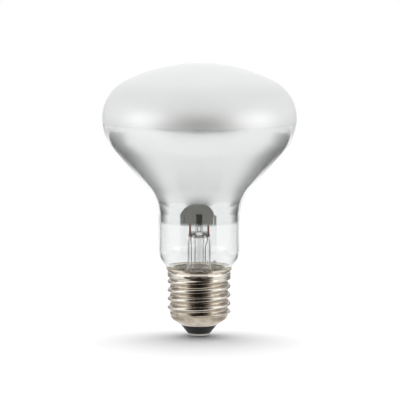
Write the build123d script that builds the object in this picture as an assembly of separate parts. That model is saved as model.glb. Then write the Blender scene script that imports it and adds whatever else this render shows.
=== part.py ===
from build123d import *
import os
from math import atan2, cos, degrees, radians, sin, sqrt, tan

# A reflector bulb with a 27 mm screw cap, modelled cap down.
# The origin is the middle of the contact's flat face, and +Z runs along the axis to the dome.
# Lengths are in millimetres and angles in degrees.

# Glass bulb
bulb_diameter = 80.0
crown_radius = 68.6
dome_edge_radius = 17.4
bowl_edge_radius = 20.2
cone_angle = 42.6
flare_radius = 17.7
neck_diameter = 33.6
neck_straight = 14.0
shoulder_radius = 9.6
seat_clearance = 0.72
seal_length = 3.8
glass_wall = 0.8

# Mirror inside the bulb
coat_thickness = 0.1
coat_clearance = 0.05
coat_top_drop = 1.9
coat_neck_reach = 3.2

# Screw shell
thread_major = 26.4
thread_depth = 1.1
thread_pitch = 3.629
thread_length = 13.6
thread_start_angle = 353.0
thread_run_in = 0.6
thread_run_out = 1.64
shell_wall = 0.3
collar_step = 0.05
collar_length = 2.3
rim_flare = 0.45
rim_height = 0.8
base_opening = 15.2
base_angle = 33.0
base_bend_radius = 3.2
join_tolerance = 0.0001

# Insulator, contact, cement and solder of the cap
insulator_foot = 9.8
insulator_drop = 3.5
insulator_fill = 2.6
contact_diameter = 9.2
contact_thickness = 1.0
contact_edge_round = 0.45
eyelet_bore = 2.4
eyelet_wall = 0.35
eyelet_length = 2.2
cement_drop = 0.3
tip_solder_height = 1.4
tip_solder_cover = 0.4
side_solder_diameter = 2.4
side_angle = 60.0

# Glass stem, exhaust tube and arbor
stem_diameter = 10.2
stem_wall = 0.9
stem_height = 17.5
bore_rise = 0.8
bore_roof_round = 2.0
pinch_edge = 0.65
pinch_cover = 0.45
pinch_corner = 1.8
pinch_neck = 2.4
pinch_height = 6.6
pinch_top_round = 0.5
exhaust_diameter = 4.4
exhaust_wall = 0.65
exhaust_tail = 7.0
exhaust_cap = 1.2
blow_hole = 1.6
blow_hole_drop = 3.4
arbor_diameter = 2.4
arbor_height = 13.0
button_diameter = 5.0

# Wires sealed in the pinch, and the leads below it
seal_wire_diameter = 0.5
seal_wire_inset = 0.85
seal_wire_tail = 1.2
outer_lead_diameter = 0.4
outer_lead_clearance = 0.05
outer_lead_bend = 0.6
outer_lead_straight = 1.0
outer_lead_shift = 2.4
outer_lead_drop = 1.2
centre_lead_inset = 1.0
side_lead_angle = -40.0
centre_lead_slant = 3.0

# Leads, supports and filament above the pinch
lead_wire_diameter = 0.6
lead_wire_straight = 2.0
lead_wire_slant = 11.0
lead_wire_bend = 2.5
filament_diameter = 0.7
filament_ring = 18.0
filament_height = 25.0
filament_bend = 1.0
filament_tail = 0.5
support_diameter = 0.24
support_clearance = 0.05
support_angles = (45.0, 90.0, 135.0)
support_embed = 1.2
support_rise = 5.0
support_bend = 1.5
support_hook_end = 0.4

# Radii and levels of the cap, counted up from the contact
crest_radius = thread_major / 2
root_radius = crest_radius - thread_depth
mean_radius = crest_radius - thread_depth / 2
collar_radius = crest_radius + collar_step
collar_bore = collar_radius - shell_wall
rim_radius = collar_radius + rim_flare
opening_radius = base_opening / 2
base_slope = radians(base_angle)
bend_axis = root_radius - base_bend_radius
opening_level = contact_thickness + insulator_drop
slope_rise = (bend_axis + base_bend_radius * sin(base_slope) - opening_radius) * tan(base_slope)
bend_level = opening_level + slope_rise + base_bend_radius * cos(base_slope)
thread_bottom = bend_level + thread_run_in
thread_top = thread_bottom + thread_length
collar_level = thread_top + thread_run_out
lip_level = collar_level + collar_length
rim_level = lip_level + rim_height
cement_level = rim_level - cement_drop
eyelet_radius = eyelet_bore / 2 + eyelet_wall

# Radii and levels of the bulb, counted up from the cap's rim
bulb_radius = bulb_diameter / 2
neck_radius = neck_diameter / 2
lead_radius = outer_lead_diameter / 2
seal_radius = root_radius - shell_wall - outer_lead_diameter - 2 * outer_lead_clearance
seat_radius = rim_radius - shell_wall - seat_clearance
shoulder_axis = neck_radius - shoulder_radius
shoulder_level = rim_level + sqrt(shoulder_radius**2 - (seat_radius - shoulder_axis) ** 2)
seal_top = shoulder_level - sqrt(shoulder_radius**2 - (seal_radius - shoulder_axis) ** 2)
seal_end = seal_top - seal_length
flare_level = shoulder_level + neck_straight
cone_lean = radians(cone_angle)
bend_radii = bowl_edge_radius + flare_radius
cone_span = bulb_radius - neck_radius - bend_radii * (1 - cos(cone_lean))
widest_level = flare_level + bend_radii * sin(cone_lean) + cone_span / tan(cone_lean)
dome_axis = bulb_radius - dome_edge_radius
crown_level = widest_level - sqrt((crown_radius - dome_edge_radius) ** 2 - dome_axis**2)
dome_lean = degrees(atan2(widest_level - crown_level, dome_axis))

# Radii and levels of the stem, counted up from the end of the glass seal
stem_radius = stem_diameter / 2
stem_bore = stem_radius - stem_wall
stem_bend = seal_radius - glass_wall - stem_radius
stem_bend_level = seal_end + stem_wall + stem_bend
stem_top = seal_end + stem_height
bore_roof = stem_top + bore_rise
pinch_level = stem_top + pinch_neck
pinch_top = pinch_level + pinch_height
seal_wire_shift = stem_bore - seal_wire_inset
seal_wire_end = bore_roof - seal_wire_tail
pinch_width = 2 * (seal_wire_shift + seal_wire_diameter / 2 + pinch_edge)
pinch_thickness = exhaust_diameter + 2 * pinch_cover
exhaust_radius = exhaust_diameter / 2
exhaust_bore = exhaust_radius - exhaust_wall
exhaust_end = seal_end - exhaust_tail
blow_hole_level = pinch_top - blow_hole_drop
exhaust_top = blow_hole_level + exhaust_cap
button_level = pinch_top + arbor_height
filament_level = pinch_top + filament_height
ring_radius = filament_ring / 2


def turned(edges):
    """Solid of revolution about the axis, from a closed outline of (radius, height) edges."""
    return revolve(make_face(Plane.XZ * (Curve() + edges)), Axis.Z)


def turned_polygon(*points):
    """Solid of revolution of a straight-sided outline of (radius, height) points."""
    return turned([Polyline(*points, close=True)])


def slab(radius, low, high):
    """Upright disc between two levels."""
    return Pos(0, 0, low) * Cylinder(radius, high - low, align=(Align.CENTER, Align.CENTER, Align.MIN))


def round_wire(path, diameter):
    """Round wire along a path, cut square at both ends."""
    return sweep(Plane(path @ 0, z_dir=path % 0) * Circle(diameter / 2), path)


def envelope(inset):
    """The bulb's form at a depth under its outer face, filled in to the axis and flat at the seal's end.

    Every bend keeps its centre, so two of these with different depths stand the same wall apart all over.
    """
    seal_wall = seal_radius - inset
    shoulder = shoulder_radius - inset
    shoulder_drop = sqrt(shoulder**2 - (seal_wall - shoulder_axis) ** 2)
    shoulder_turn = degrees(atan2(shoulder_drop, seal_wall - shoulder_axis))
    crown_arc = CenterArc((0, crown_level), crown_radius - inset, 90, dome_lean - 90)
    dome_arc = CenterArc((dome_axis, widest_level), dome_edge_radius - inset, dome_lean, -dome_lean)
    bowl_centre = (bulb_radius - bowl_edge_radius, widest_level)
    bowl_arc = CenterArc(bowl_centre, bowl_edge_radius - inset, 0, -cone_angle)
    flare_centre = (neck_radius + flare_radius, flare_level)
    flare_arc = CenterArc(flare_centre, flare_radius + inset, 180 - cone_angle, cone_angle)
    cone = Line(bowl_arc @ 1, flare_arc @ 0)
    shoulder_arc = CenterArc((shoulder_axis, shoulder_level), shoulder, 0, -shoulder_turn)
    neck = Line(flare_arc @ 1, shoulder_arc @ 0)
    seal = Line(shoulder_arc @ 1, (seal_wall, seal_end))
    floor = Line(seal @ 1, (0, seal_end))
    axis = Line(floor @ 1, crown_arc @ 0)
    return turned([crown_arc, dome_arc, bowl_arc, cone, flare_arc, neck, shoulder_arc, seal, floor, axis])


def glass_bulb():
    """Blown bulb with an even wall, open at the seal's end."""
    return envelope(0) - envelope(glass_wall)


def mirror_coat():
    """Metal film on the inside of the glass, from just under the widest line to the top of the neck."""
    outer_face = glass_wall + coat_clearance
    film = envelope(outer_face) - envelope(outer_face + coat_thickness)
    return film & slab(bulb_radius, flare_level - coat_neck_reach, widest_level - coat_top_drop)


def thread_disc(radius, shift, angle, level):
    """Level disc whose middle stands off the axis, as a level cut through a round thread does."""
    return Pos(0, 0, level) * Rot(0, 0, angle) * Pos(shift, 0, 0) * Circle(radius)


def fading_wall(low, high):
    """Shell wall between two thread discs, each (radius, shift, angle, level), where the thread fades."""
    outside = loft([thread_disc(*low), thread_disc(*high)])
    low_bore = (low[0] - shell_wall, *low[1:])
    high_bore = (high[0] - shell_wall, *high[1:])
    return outside - loft([thread_disc(*low_bore), thread_disc(*high_bore)])


def base_bore():
    """Inner face of the shell's base: the slope from its opening, then the bend up to the thread."""
    bend = CenterArc((bend_axis, bend_level), base_bend_radius - shell_wall, base_angle - 90, 90 - base_angle)
    slope = Line((opening_radius, opening_level + shell_wall / cos(base_slope)), bend @ 0)
    return slope, bend


def screw_shell():
    """Thin rolled shell: turned base, round thread, and collar with a flared rim.

    A level cut through a single round thread is a circle that stands off the axis by half the thread's
    depth, so the thread is that ring, kept level, carried up a slim helix with the thread's pitch.
    """
    slope, bend = base_bore()
    outer_bend = CenterArc((bend_axis, bend_level), base_bend_radius, base_angle - 90, 90 - base_angle)
    outer_slope = Line((opening_radius, opening_level), outer_bend @ 0)
    ends = [Line(outer_slope @ 0, slope @ 0), Line(outer_bend @ 1, bend @ 1)]
    base = turned([outer_slope, outer_bend, slope, bend, *ends])

    shift = thread_depth / 2
    turn = 360 * thread_length / thread_pitch
    start = (mean_radius, shift, thread_start_angle, thread_bottom)
    finish = (mean_radius, shift, thread_start_angle + turn, thread_top)
    ring = thread_disc(*start) - thread_disc(mean_radius - shell_wall, *start[1:])
    helix = Helix(thread_pitch, thread_length, shift)
    middle = Pos(0, 0, thread_bottom) * Rot(0, 0, thread_start_angle) * helix
    thread = sweep(ring, middle, normal=(0, 0, 1)).solid()
    run_in = fading_wall((root_radius, 0, thread_start_angle, bend_level), start)
    run_out = fading_wall(finish, (collar_radius, 0, thread_start_angle + turn, collar_level))

    collar = turned_polygon(
        (collar_radius, collar_level),
        (collar_radius, lip_level),
        (rim_radius, rim_level),
        (rim_radius - shell_wall, rim_level),
        (collar_bore, lip_level),
        (collar_bore, collar_level),
    )
    return thread.fuse(run_in, run_out, base, collar, tol=join_tolerance)


def insulator():
    """Black glass that fills the shell's base and carries the contact, with a hole for the lead."""
    slope, bend = base_bore()
    foot = Polyline(
        bend @ 1,
        (eyelet_radius, bend_level),
        (eyelet_radius, contact_thickness),
        (insulator_foot / 2, contact_thickness),
        (opening_radius, opening_level),
        slope @ 0,
    )
    return turned([slope, bend, foot]) & slab(root_radius, contact_thickness, opening_level + insulator_fill)


def centre_contact():
    """Contact plate with a rounded edge, and the eyelet that holds it in the insulator."""
    radius = contact_diameter / 2
    bore = eyelet_bore / 2
    eyelet_top = contact_thickness + eyelet_length
    edge = CenterArc((radius - contact_edge_round, contact_edge_round), contact_edge_round, -90, 90)
    plate = Polyline(
        edge @ 1,
        (radius, contact_thickness),
        (eyelet_radius, contact_thickness),
        (eyelet_radius, eyelet_top),
        (bore, eyelet_top),
        (bore, 0),
        edge @ 0,
    )
    return turned([edge, plate])


def seal_wire(side):
    """Copper-clad wire sealed straight through the pinch."""
    return Pos(side * seal_wire_shift, 0, 0) * slab(seal_wire_diameter / 2, seal_wire_end, pinch_top)


def blow_bore():
    """Hole from the exhaust tube out through the front of the pinch."""
    along_front = Rot(90, 0, 0)
    hole = Cylinder(blow_hole / 2, pinch_thickness, align=(Align.CENTER, Align.CENTER, Align.MIN))
    return Pos(0, 0, blow_hole_level) * along_front * hole


def exhaust_tube():
    """Thin tube up the middle of the stem, melted shut at its lower end and open to the blow hole."""
    middle = exhaust_end + exhaust_radius
    tip = CenterArc((0, middle), exhaust_radius, -90, 90)
    bore_tip = CenterArc((0, middle), exhaust_bore, -90, 90)
    wall = Polyline(tip @ 1, (exhaust_radius, exhaust_top), (exhaust_bore, exhaust_top), bore_tip @ 1)
    return turned([tip, wall, bore_tip, Line(bore_tip @ 0, tip @ 0)]) - blow_bore()


def stem():
    """Tube flared out to the bulb's seal at its foot and pressed flat round the wires at its top."""
    bend_centre = (stem_radius + stem_bend, stem_bend_level)
    flare = CenterArc(bend_centre, stem_bend, 180, 90)
    outside = Polyline(
        flare @ 1,
        (stem_radius + stem_bend, seal_end),
        (0, seal_end),
        (0, stem_top),
        (stem_radius, stem_top),
        flare @ 0,
    )
    body = turned([flare, outside])

    mouth = CenterArc(bend_centre, stem_bend + stem_wall, 180, 90)
    roof = CenterArc((stem_bore - bore_roof_round, bore_roof - bore_roof_round), bore_roof_round, 0, 90)
    inside = Polyline(roof @ 1, (0, bore_roof), (0, seal_end), mouth @ 1)
    bore = turned([mouth, Line(mouth @ 0, roof @ 0), roof, inside])

    press = Pos(0, 0, pinch_level) * RectangleRounded(pinch_width, pinch_thickness, pinch_corner)
    closing = loft([Pos(0, 0, stem_top) * Circle(stem_radius), press])
    pinch = extrude(press, pinch_height)
    pinch = fillet(pinch.faces().sort_by(Axis.Z)[-1].edges(), pinch_top_round)
    whole = body + closing + pinch - bore - blow_bore() - slab(exhaust_radius, exhaust_end, exhaust_top)
    return whole - seal_wire(-1) - seal_wire(1)


def support_wire(angle):
    """Thin wire from the button out to the filament, hooked over it."""
    hook_radius = (filament_diameter + support_diameter) / 2 + support_clearance
    inner = ring_radius - hook_radius
    foot = (button_diameter / 2 - support_embed, button_level)
    knee = (inner, button_level + support_rise)
    rise = FilletPolyline(foot, knee, (inner, filament_level), radius=support_bend)
    hook = CenterArc((ring_radius, filament_level), hook_radius, 180, -180)
    tail = Line(hook @ 1, (ring_radius + hook_radius, filament_level - support_hook_end))
    path = Plane.XZ * (Curve() + [rise, hook, tail])
    return Rot(0, 0, angle) * round_wire(path, support_diameter)


def arbor(supports):
    """Glass rod on the pinch, with a button that the support wires are stuck into."""
    rod = slab(arbor_diameter / 2, pinch_top, button_level)
    whole = rod + Pos(0, 0, button_level) * Sphere(button_diameter / 2)
    for support in supports:
        whole -= support
    return whole


def lead_wire(side):
    """Stout lead from the pinch, spread out and up to one end of the filament."""
    near = side * seal_wire_shift
    far = side * ring_radius
    knee = pinch_top + lead_wire_straight
    shoulder = knee + lead_wire_slant
    tip = filament_level - filament_bend - filament_tail
    points = [
        (near, 0, pinch_top),
        (near, 0, knee),
        (far, -filament_bend, shoulder),
        (far, -filament_bend, tip),
    ]
    return round_wire(FilletPolyline(*points, radius=lead_wire_bend), lead_wire_diameter)


def filament():
    """Coiled wire, drawn as the round outside of its coil, in half a ring between the two leads."""
    bend_level = filament_level - filament_bend
    left_bend = (-ring_radius, -filament_bend, bend_level)
    right_bend = (ring_radius, -filament_bend, bend_level)
    left = (-ring_radius, 0, filament_level)
    right = (ring_radius, 0, filament_level)
    path = Curve() + [
        Line((-ring_radius, -filament_bend, bend_level - filament_tail), left_bend),
        TangentArc(left_bend, left, tangent=(0, 0, 1)),
        ThreePointArc(left, (0, ring_radius, filament_level), right),
        TangentArc(right, right_bend, tangent=(0, -1, 0)),
        Line(right_bend, (ring_radius, -filament_bend, bend_level - filament_tail)),
    ]
    return round_wire(path, filament_diameter)


def polar(radius, angle, level):
    """Point at a radius and an angle about the axis."""
    return (radius * cos(radians(angle)), radius * sin(radians(angle)), level)


def outer_lead_centre():
    """Lead from the left seal wire down past the exhaust tube to the contact's eyelet."""
    near = -seal_wire_shift
    inset = centre_lead_inset - stem_bore
    bend = seal_wire_end - outer_lead_straight
    slant = exhaust_end - outer_lead_drop
    points = [
        (near, 0, seal_wire_end),
        (near, 0, bend),
        (inset, 0, bend - outer_lead_shift),
        (inset, 0, slant),
        (0, 0, slant - centre_lead_slant),
        (0, 0, tip_solder_cover),
    ]
    return round_wire(FilletPolyline(*points, radius=outer_lead_bend), outer_lead_diameter)


def outer_lead_side():
    """Lead from the right seal wire, out under the glass seal and up beside it to the shell's rim."""
    bend = seal_wire_end - outer_lead_straight
    turn = seal_end - outer_lead_drop
    middle = (exhaust_radius + stem_bore) / 2
    beside_seal = seal_radius + outer_lead_clearance + lead_radius
    inside_rim = collar_bore - outer_lead_clearance - lead_radius
    points = [
        (seal_wire_shift, 0, seal_wire_end),
        (seal_wire_shift, 0, bend),
        polar(middle, side_lead_angle, bend - outer_lead_shift),
        polar(middle, side_lead_angle, turn),
        polar(beside_seal, side_angle, turn),
        polar(beside_seal, side_angle, collar_level),
        polar(inside_rim, side_angle, cement_level),
    ]
    return round_wire(FilletPolyline(*points, radius=outer_lead_bend), outer_lead_diameter)


def cap_cement(lead):
    """Ring of cement between the collar and the glass, with the side lead set in it."""
    lip_radius = collar_bore + rim_flare * (cement_level - lip_level) / rim_height
    plug = turned_polygon(
        (0, collar_level),
        (collar_bore, collar_level),
        (collar_bore, lip_level),
        (lip_radius, cement_level),
        (0, cement_level),
    )
    return plug - envelope(0) - lead


def side_solder(shell, cement, lead):
    """Bead of solder over the rim that joins the side lead to the shell."""
    bead = Pos(*polar(collar_radius, side_angle, rim_level)) * Sphere(side_solder_diameter / 2)
    return bead - shell - cement - lead - envelope(0)


def tip_solder(lead):
    """Solder that fills the contact's eyelet round the end of the centre lead, flush with the contact."""
    return slab(eyelet_bore / 2, 0, tip_solder_height) - lead


supports = [support_wire(angle) for angle in support_angles]
shell = screw_shell()
centre_lead = outer_lead_centre()
side_lead = outer_lead_side()
cement = cap_cement(side_lead)

pieces = {
    "glass_bulb": glass_bulb(),
    "mirror_coat": mirror_coat(),
    "stem": stem(),
    "exhaust_tube": exhaust_tube(),
    "arbor": arbor(supports),
    "seal_wire_left": seal_wire(-1),
    "seal_wire_right": seal_wire(1),
    "lead_wire_left": lead_wire(-1),
    "lead_wire_right": lead_wire(1),
    "outer_lead_centre": centre_lead,
    "outer_lead_side": side_lead,
    "filament": filament(),
    "screw_shell": shell,
    "insulator": insulator(),
    "centre_contact": centre_contact(),
    "cap_cement": cement,
    "side_solder": side_solder(shell, cement, side_lead),
    "tip_solder": tip_solder(centre_lead),
}
for number, support in enumerate(supports, start=1):
    pieces[f"support_wire_{number}"] = support

os.makedirs("parts", exist_ok=True)
for name, piece in pieces.items():
    export_step(piece, f"parts/{name}.step")
print("length over all", round(crown_level + crown_radius, 2), "widest at", round(widest_level, 2))
print("cap rim at", round(rim_level, 2), "neck from", round(shoulder_level, 2), "to", round(flare_level, 2))
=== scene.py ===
# %% [markdown]
# # A reflector bulb on a white table
# The bulb is a blown glass mushroom with a mirror inside its bowl, a frosted dome, a clear neck and a
# threaded metal cap. The imported model already gives every piece its size and place, so this lesson
# dresses it: smooth skins, real finishes, a studio and a camera. The imported meshes could be painted as
# they are, but their facets would show in glass and metal, so each piece gets a finer skin. We load the
# model first.

# %% Load the frame
from math import atan2, cos, degrees, pi, radians, sin, sqrt, tan

import bpy
import numpy as np
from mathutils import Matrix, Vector


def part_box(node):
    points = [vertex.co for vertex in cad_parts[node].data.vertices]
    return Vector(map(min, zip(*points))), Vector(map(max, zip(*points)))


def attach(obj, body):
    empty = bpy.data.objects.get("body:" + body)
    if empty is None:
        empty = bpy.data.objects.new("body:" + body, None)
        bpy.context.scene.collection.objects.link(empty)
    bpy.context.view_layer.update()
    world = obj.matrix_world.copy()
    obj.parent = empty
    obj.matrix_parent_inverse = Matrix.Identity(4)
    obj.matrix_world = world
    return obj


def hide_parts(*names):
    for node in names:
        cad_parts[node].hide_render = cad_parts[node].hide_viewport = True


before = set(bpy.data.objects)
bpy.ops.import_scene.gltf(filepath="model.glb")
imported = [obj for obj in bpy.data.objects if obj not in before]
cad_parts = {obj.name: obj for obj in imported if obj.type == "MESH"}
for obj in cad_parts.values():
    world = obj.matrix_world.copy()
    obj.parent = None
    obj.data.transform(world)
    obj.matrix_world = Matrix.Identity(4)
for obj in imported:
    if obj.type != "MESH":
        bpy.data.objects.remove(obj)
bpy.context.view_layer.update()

MM = 0.001

# %% [markdown]
# ## Skins from grids
# A lathe-turned shape, a bent wire and a rolled thread have one thing in common: walk along an outline,
# go once round at each step, and you have a grid of points. Blender's Spin tool makes such grids too,
# but it can leave doubled points at the seam and the poles. So one helper turns a grid into a closed skin.
# Where a row shrinks to a single point, as at the top of the dome, its points are welded into one, and
# the squares that lose a corner there become triangles.

# %% Closed skins
WELD = 1e-5


def closed_skin(grid, loop=False, void=False):
    """Points and faces of the closed skin over a grid of points in millimetres.

    Rows follow the outline, and columns go once round, so the last column joins the first. With loop, the
    last row joins the first too; otherwise the end rows are poles. Faces turn so that the volume inside
    is positive, or negative where the skin lines a void.
    """
    rows, columns = grid.shape[:2]
    numbers = np.arange(rows * columns).reshape(rows, columns)
    numbers = np.concatenate([numbers, numbers[:, :1]], axis=1)
    if loop:
        numbers = np.concatenate([numbers, numbers[:1]], axis=0)
    corners = [numbers[:-1, :-1], numbers[1:, :-1], numbers[1:, 1:], numbers[:-1, 1:]]
    faces = np.stack(corners, axis=-1).reshape(-1, 4)
    places = np.round(grid.reshape(-1, 3) / WELD).astype(np.int64)
    places, spots = np.unique(places, axis=0, return_inverse=True)
    faces = spots.reshape(-1)[faces]
    points = places * WELD
    a, b, c, d = (points[faces[:, i]] for i in range(4))
    volume = np.einsum("ij,ij->", a, np.cross(b, c) + np.cross(c, d)) / 6
    if (volume < 0) != void:
        faces = faces[:, ::-1]
    same = faces == np.roll(faces, -1, axis=1)
    squares = faces[~same.any(axis=1)]
    lost_one = same.sum(axis=1) == 1
    triangles = faces[lost_one][~same[lost_one]].reshape(-1, 3)
    return points, squares, triangles


print("points nearer than", WELD, "mm become one")

# %% [markdown]
# A finished piece is one object: its skins joined in one mesh, shaded smooth but for real edges, with
# its finishes. This could be written out for each piece, but a function forgets none of it.

# %% Pieces from skins
SHARP = 35


def add_piece(name, skins, finishes, slot, *nodes, sharp=SHARP):
    """A piece of the bulb from one or more skins, smooth but for edges sharper than an angle in degrees."""
    points = np.concatenate([skin[0] for skin in skins])
    starts = np.cumsum([0] + [len(skin[0]) for skin in skins[:-1]])
    faces = []
    for (_, squares, triangles), start in zip(skins, starts):
        faces += (squares + start).tolist()
        faces += (triangles + start).tolist()
    mesh = bpy.data.meshes.new(name)
    mesh.from_pydata(points * MM, [], faces)
    mesh.shade_smooth()
    mesh.set_sharp_from_angle(angle=radians(sharp))
    for finish in finishes:
        mesh.materials.append(finish)
    piece = bpy.data.objects.new(name, mesh)
    bpy.context.scene.collection.objects.link(piece)
    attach(piece, "root")
    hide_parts(*nodes)
    print(name, "points", len(points), "faces", len(faces))
    return piece


print("edges over", SHARP, "degrees stay sharp")

# %% [markdown]
# ## Outlines
# Turned pieces start as half of their section: a row of (radius, height) points made of straight runs
# and arcs. The points could be read off a drawing, but an arc with its real radius needs only a centre
# and two angles. Long runs are divided too, so that the smooth shading has points to hold on to.

# %% Arcs, runs and turning
TURN_STEPS = 160


def arc(centre, radius, start, end, step=2.0):
    """Points on a circle about (radius, height), from one angle in degrees to another."""
    angles = np.radians(np.linspace(start, end, max(3, int(abs(end - start) / step) + 1)))
    return np.stack([centre[0] + radius * np.cos(angles), centre[1] + radius * np.sin(angles)], axis=1)


def outline(*parts, step=1.5):
    """One row of (radius, height) points from arcs and single points, with long gaps divided evenly."""
    points = np.concatenate([np.atleast_2d(np.array(p, float)) for p in parts])
    moved = np.hypot(*np.diff(points, axis=0).T)
    points = points[np.concatenate([[True], moved > WELD])]
    along = np.concatenate([[0], np.cumsum(np.hypot(*np.diff(points, axis=0).T))])
    inside = [np.linspace(a, b, int((b - a) / step) + 1, endpoint=False) for a, b in zip(along, along[1:])]
    walk = np.concatenate([*inside, along[-1:]])
    return np.stack([np.interp(walk, along, points[:, i]) for i in (0, 1)], axis=1)


def turned(profile, steps=TURN_STEPS):
    """Grid of a lathe-turned skin: each (radius, height) point goes once round the axis."""
    around = np.linspace(0, 2 * pi, steps, endpoint=False)
    radius = profile[:, :1]
    height = np.broadcast_to(profile[:, 1:], (len(profile), steps))
    return np.stack([radius * np.cos(around), radius * np.sin(around), height], axis=-1)


def reach(node):
    """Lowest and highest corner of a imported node, in millimetres."""
    return [np.array(corner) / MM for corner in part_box(node)]


print("turned skins have", TURN_STEPS, "steps round the axis")

# %% [markdown]
# ## Finishes
# Every finish is a small node tree. One function turns a colour as a designer writes it, in sRGB hex,
# into the linear light that the renderer adds up. Another adds a node with its settings and links,
# which reads shorter than a line for each socket. Patterns read Object coordinates in metres, so a
# scale is simply one over the real size of the grain.

# %% Helpers for finishes
def tint(code):
    """Linear colour from an sRGB hex code: the sRGB curve is undone for each channel."""
    parts = np.array([int(code[i : i + 2], 16) for i in (0, 2, 4)]) / 255
    linear = np.where(parts <= 0.04045, parts / 12.92, ((parts + 0.055) / 1.055) ** 2.4)
    return (*linear.tolist(), 1.0)


def add_node(tree, kind, inputs=None, **settings):
    """Adds a shader node, with its settings, and with each input set to a value or linked to an output."""
    made = tree.nodes.new("ShaderNode" + kind)
    for key, value in settings.items():
        setattr(made, key, value)
    for key, value in (inputs or {}).items():
        if isinstance(value, bpy.types.NodeSocket):
            tree.links.new(value, made.inputs[key])
        else:
            made.inputs[key].default_value = value
    return made


def new_finish(name):
    """An empty material, its node tree and the piece's Object coordinates."""
    material = bpy.data.materials.new(name)
    material.use_nodes = True
    material.node_tree.nodes.clear()
    tree = material.node_tree
    return material, tree, add_node(tree, "TexCoord").outputs["Object"]


def grain(size):
    """Texture scale for a grain of that many millimetres."""
    return 1 / (size * MM)


def two_tones(tree, pattern, low, high, roughness):
    """Colour and roughness of a skin that follow a pattern from one tone to another."""
    colour = add_node(tree, "Mix", {0: pattern, 6: tint(low), 7: tint(high)}, data_type="RGBA")
    rough = add_node(tree, "MapRange", {"Value": pattern, "To Min": roughness[0], "To Max": roughness[1]})
    return {"Base Color": colour.outputs[2], "Roughness": rough.outputs[0]}


print("hex 808080 is", round(tint("808080")[0], 3), "in linear light")

# %% [markdown]
# ## Camera
# The photograph looks a few degrees down on the bulb from almost a metre away, through a long lens, so
# that upright edges stay almost parallel. The lens could be found by trial, but here it is worked out
# from how many picture points one millimetre of the bulb takes.

# %% Place the camera
FRAME_PIXELS = 400
POINTS_PER_MM = 2.4337
CAMERA_DISTANCE = 950.0
CAMERA_HEIGHT = 150.0
AIM = (0.3, 0.0, 56.25)
ROLL = 0.15
SENSOR = 36.0


def facing(place):
    """Rotation that turns a camera or a lamp at a place to face the middle of the bulb."""
    return (Vector(AIM) * MM - place).to_track_quat("-Z", "Y").to_euler()


lens = bpy.data.cameras.new("camera")
lens.sensor_width = SENSOR
lens.lens = SENSOR * POINTS_PER_MM * CAMERA_DISTANCE / FRAME_PIXELS
camera = bpy.data.objects.new("camera", lens)
bpy.context.scene.collection.objects.link(camera)
camera.location = Vector((AIM[0], -CAMERA_DISTANCE, CAMERA_HEIGHT)) * MM
camera.rotation_euler = facing(camera.location)
camera.rotation_euler.rotate_axis("Z", radians(ROLL))
bpy.context.scene.camera = camera
print("lens", round(lens.lens, 1), "mm")

# %% [markdown]
# ## Studio
# The bulb stands on a white table in a white room. A picture of a room could light it, but a plain
# world is easier to steer. It is white wherever the camera, a reflection or a view through glass meets
# it. As a light it is a fill from the sides and from behind. Three ramps over the direction make it
# weaker overhead and let it fade out toward the front and the horizon, so that the front stays shaded
# and the shadow stays compact.

# %% World
FILL_SIDES = 3.6
FILL_TOP = 0.7
TOP_BAND = (0.65, 0.95)
FRONT_BAND = (-0.65, 0.55)
HORIZON_BAND = (0.0, 0.6)


def seen_directly(tree):
    """One where the camera, a reflection or a view through glass looks, and nought for lighting rays."""
    path = add_node(tree, "LightPath").outputs
    shine = add_node(tree, "Math", {0: path["Is Camera Ray"], 1: path["Is Glossy Ray"]}, operation="MAXIMUM")
    both = {0: shine.outputs[0], 1: path["Is Transmission Ray"]}
    return add_node(tree, "Math", both, operation="MAXIMUM").outputs[0]


scene = bpy.context.scene
scene.view_settings.view_transform = "Standard"
world = bpy.data.worlds.new("studio")
scene.world = world
world.use_nodes = True
sky = world.node_tree
sky.nodes.clear()
toward = add_node(sky, "SeparateXYZ", {0: add_node(sky, "TexCoord").outputs["Generated"]}).outputs
ramps = []
for axis, band, first, last in (
    ("Z", TOP_BAND, FILL_SIDES, FILL_TOP),
    ("Y", FRONT_BAND, 0.0, 1.0),
    ("Z", HORIZON_BAND, 0.0, 1.0),
):
    ramp = {"Value": toward[axis], "From Min": band[0], "From Max": band[1], "To Min": first, "To Max": last}
    ramps.append(add_node(sky, "MapRange", ramp, interpolation_type="SMOOTHSTEP").outputs[0])
fill = add_node(sky, "Math", {0: ramps[0], 1: ramps[1]}, operation="MULTIPLY")
fill = add_node(sky, "Math", {0: fill.outputs[0], 1: ramps[2]}, operation="MULTIPLY")
strength = add_node(sky, "MapRange", {"Value": seen_directly(sky), "To Min": fill.outputs[0], "To Max": 1.0})
white_room = add_node(sky, "Background", {"Color": tint("FFFFFF"), "Strength": strength.outputs[0]})
add_node(sky, "OutputWorld", {"Surface": white_room.outputs[0]})
print("world nodes", len(sky.nodes))

# %% [markdown]
# The table top is white laminate. A backdrop that curves up behind the bulb would do as well, but a
# flat sheet needs no curve. Near the bulb it is a plain matt surface that takes the shadow. Farther out
# it turns into the same plain white as the world, so no edge shows between the two. In glass and metal
# it shows almost plain white all over.

# %% Table top
TABLE_HALF = 30000.0
TABLE_DROP = 0.02
TABLE_FADE = (120.0, 420.0)
MIRRORED_WHITE = 0.96


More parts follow.
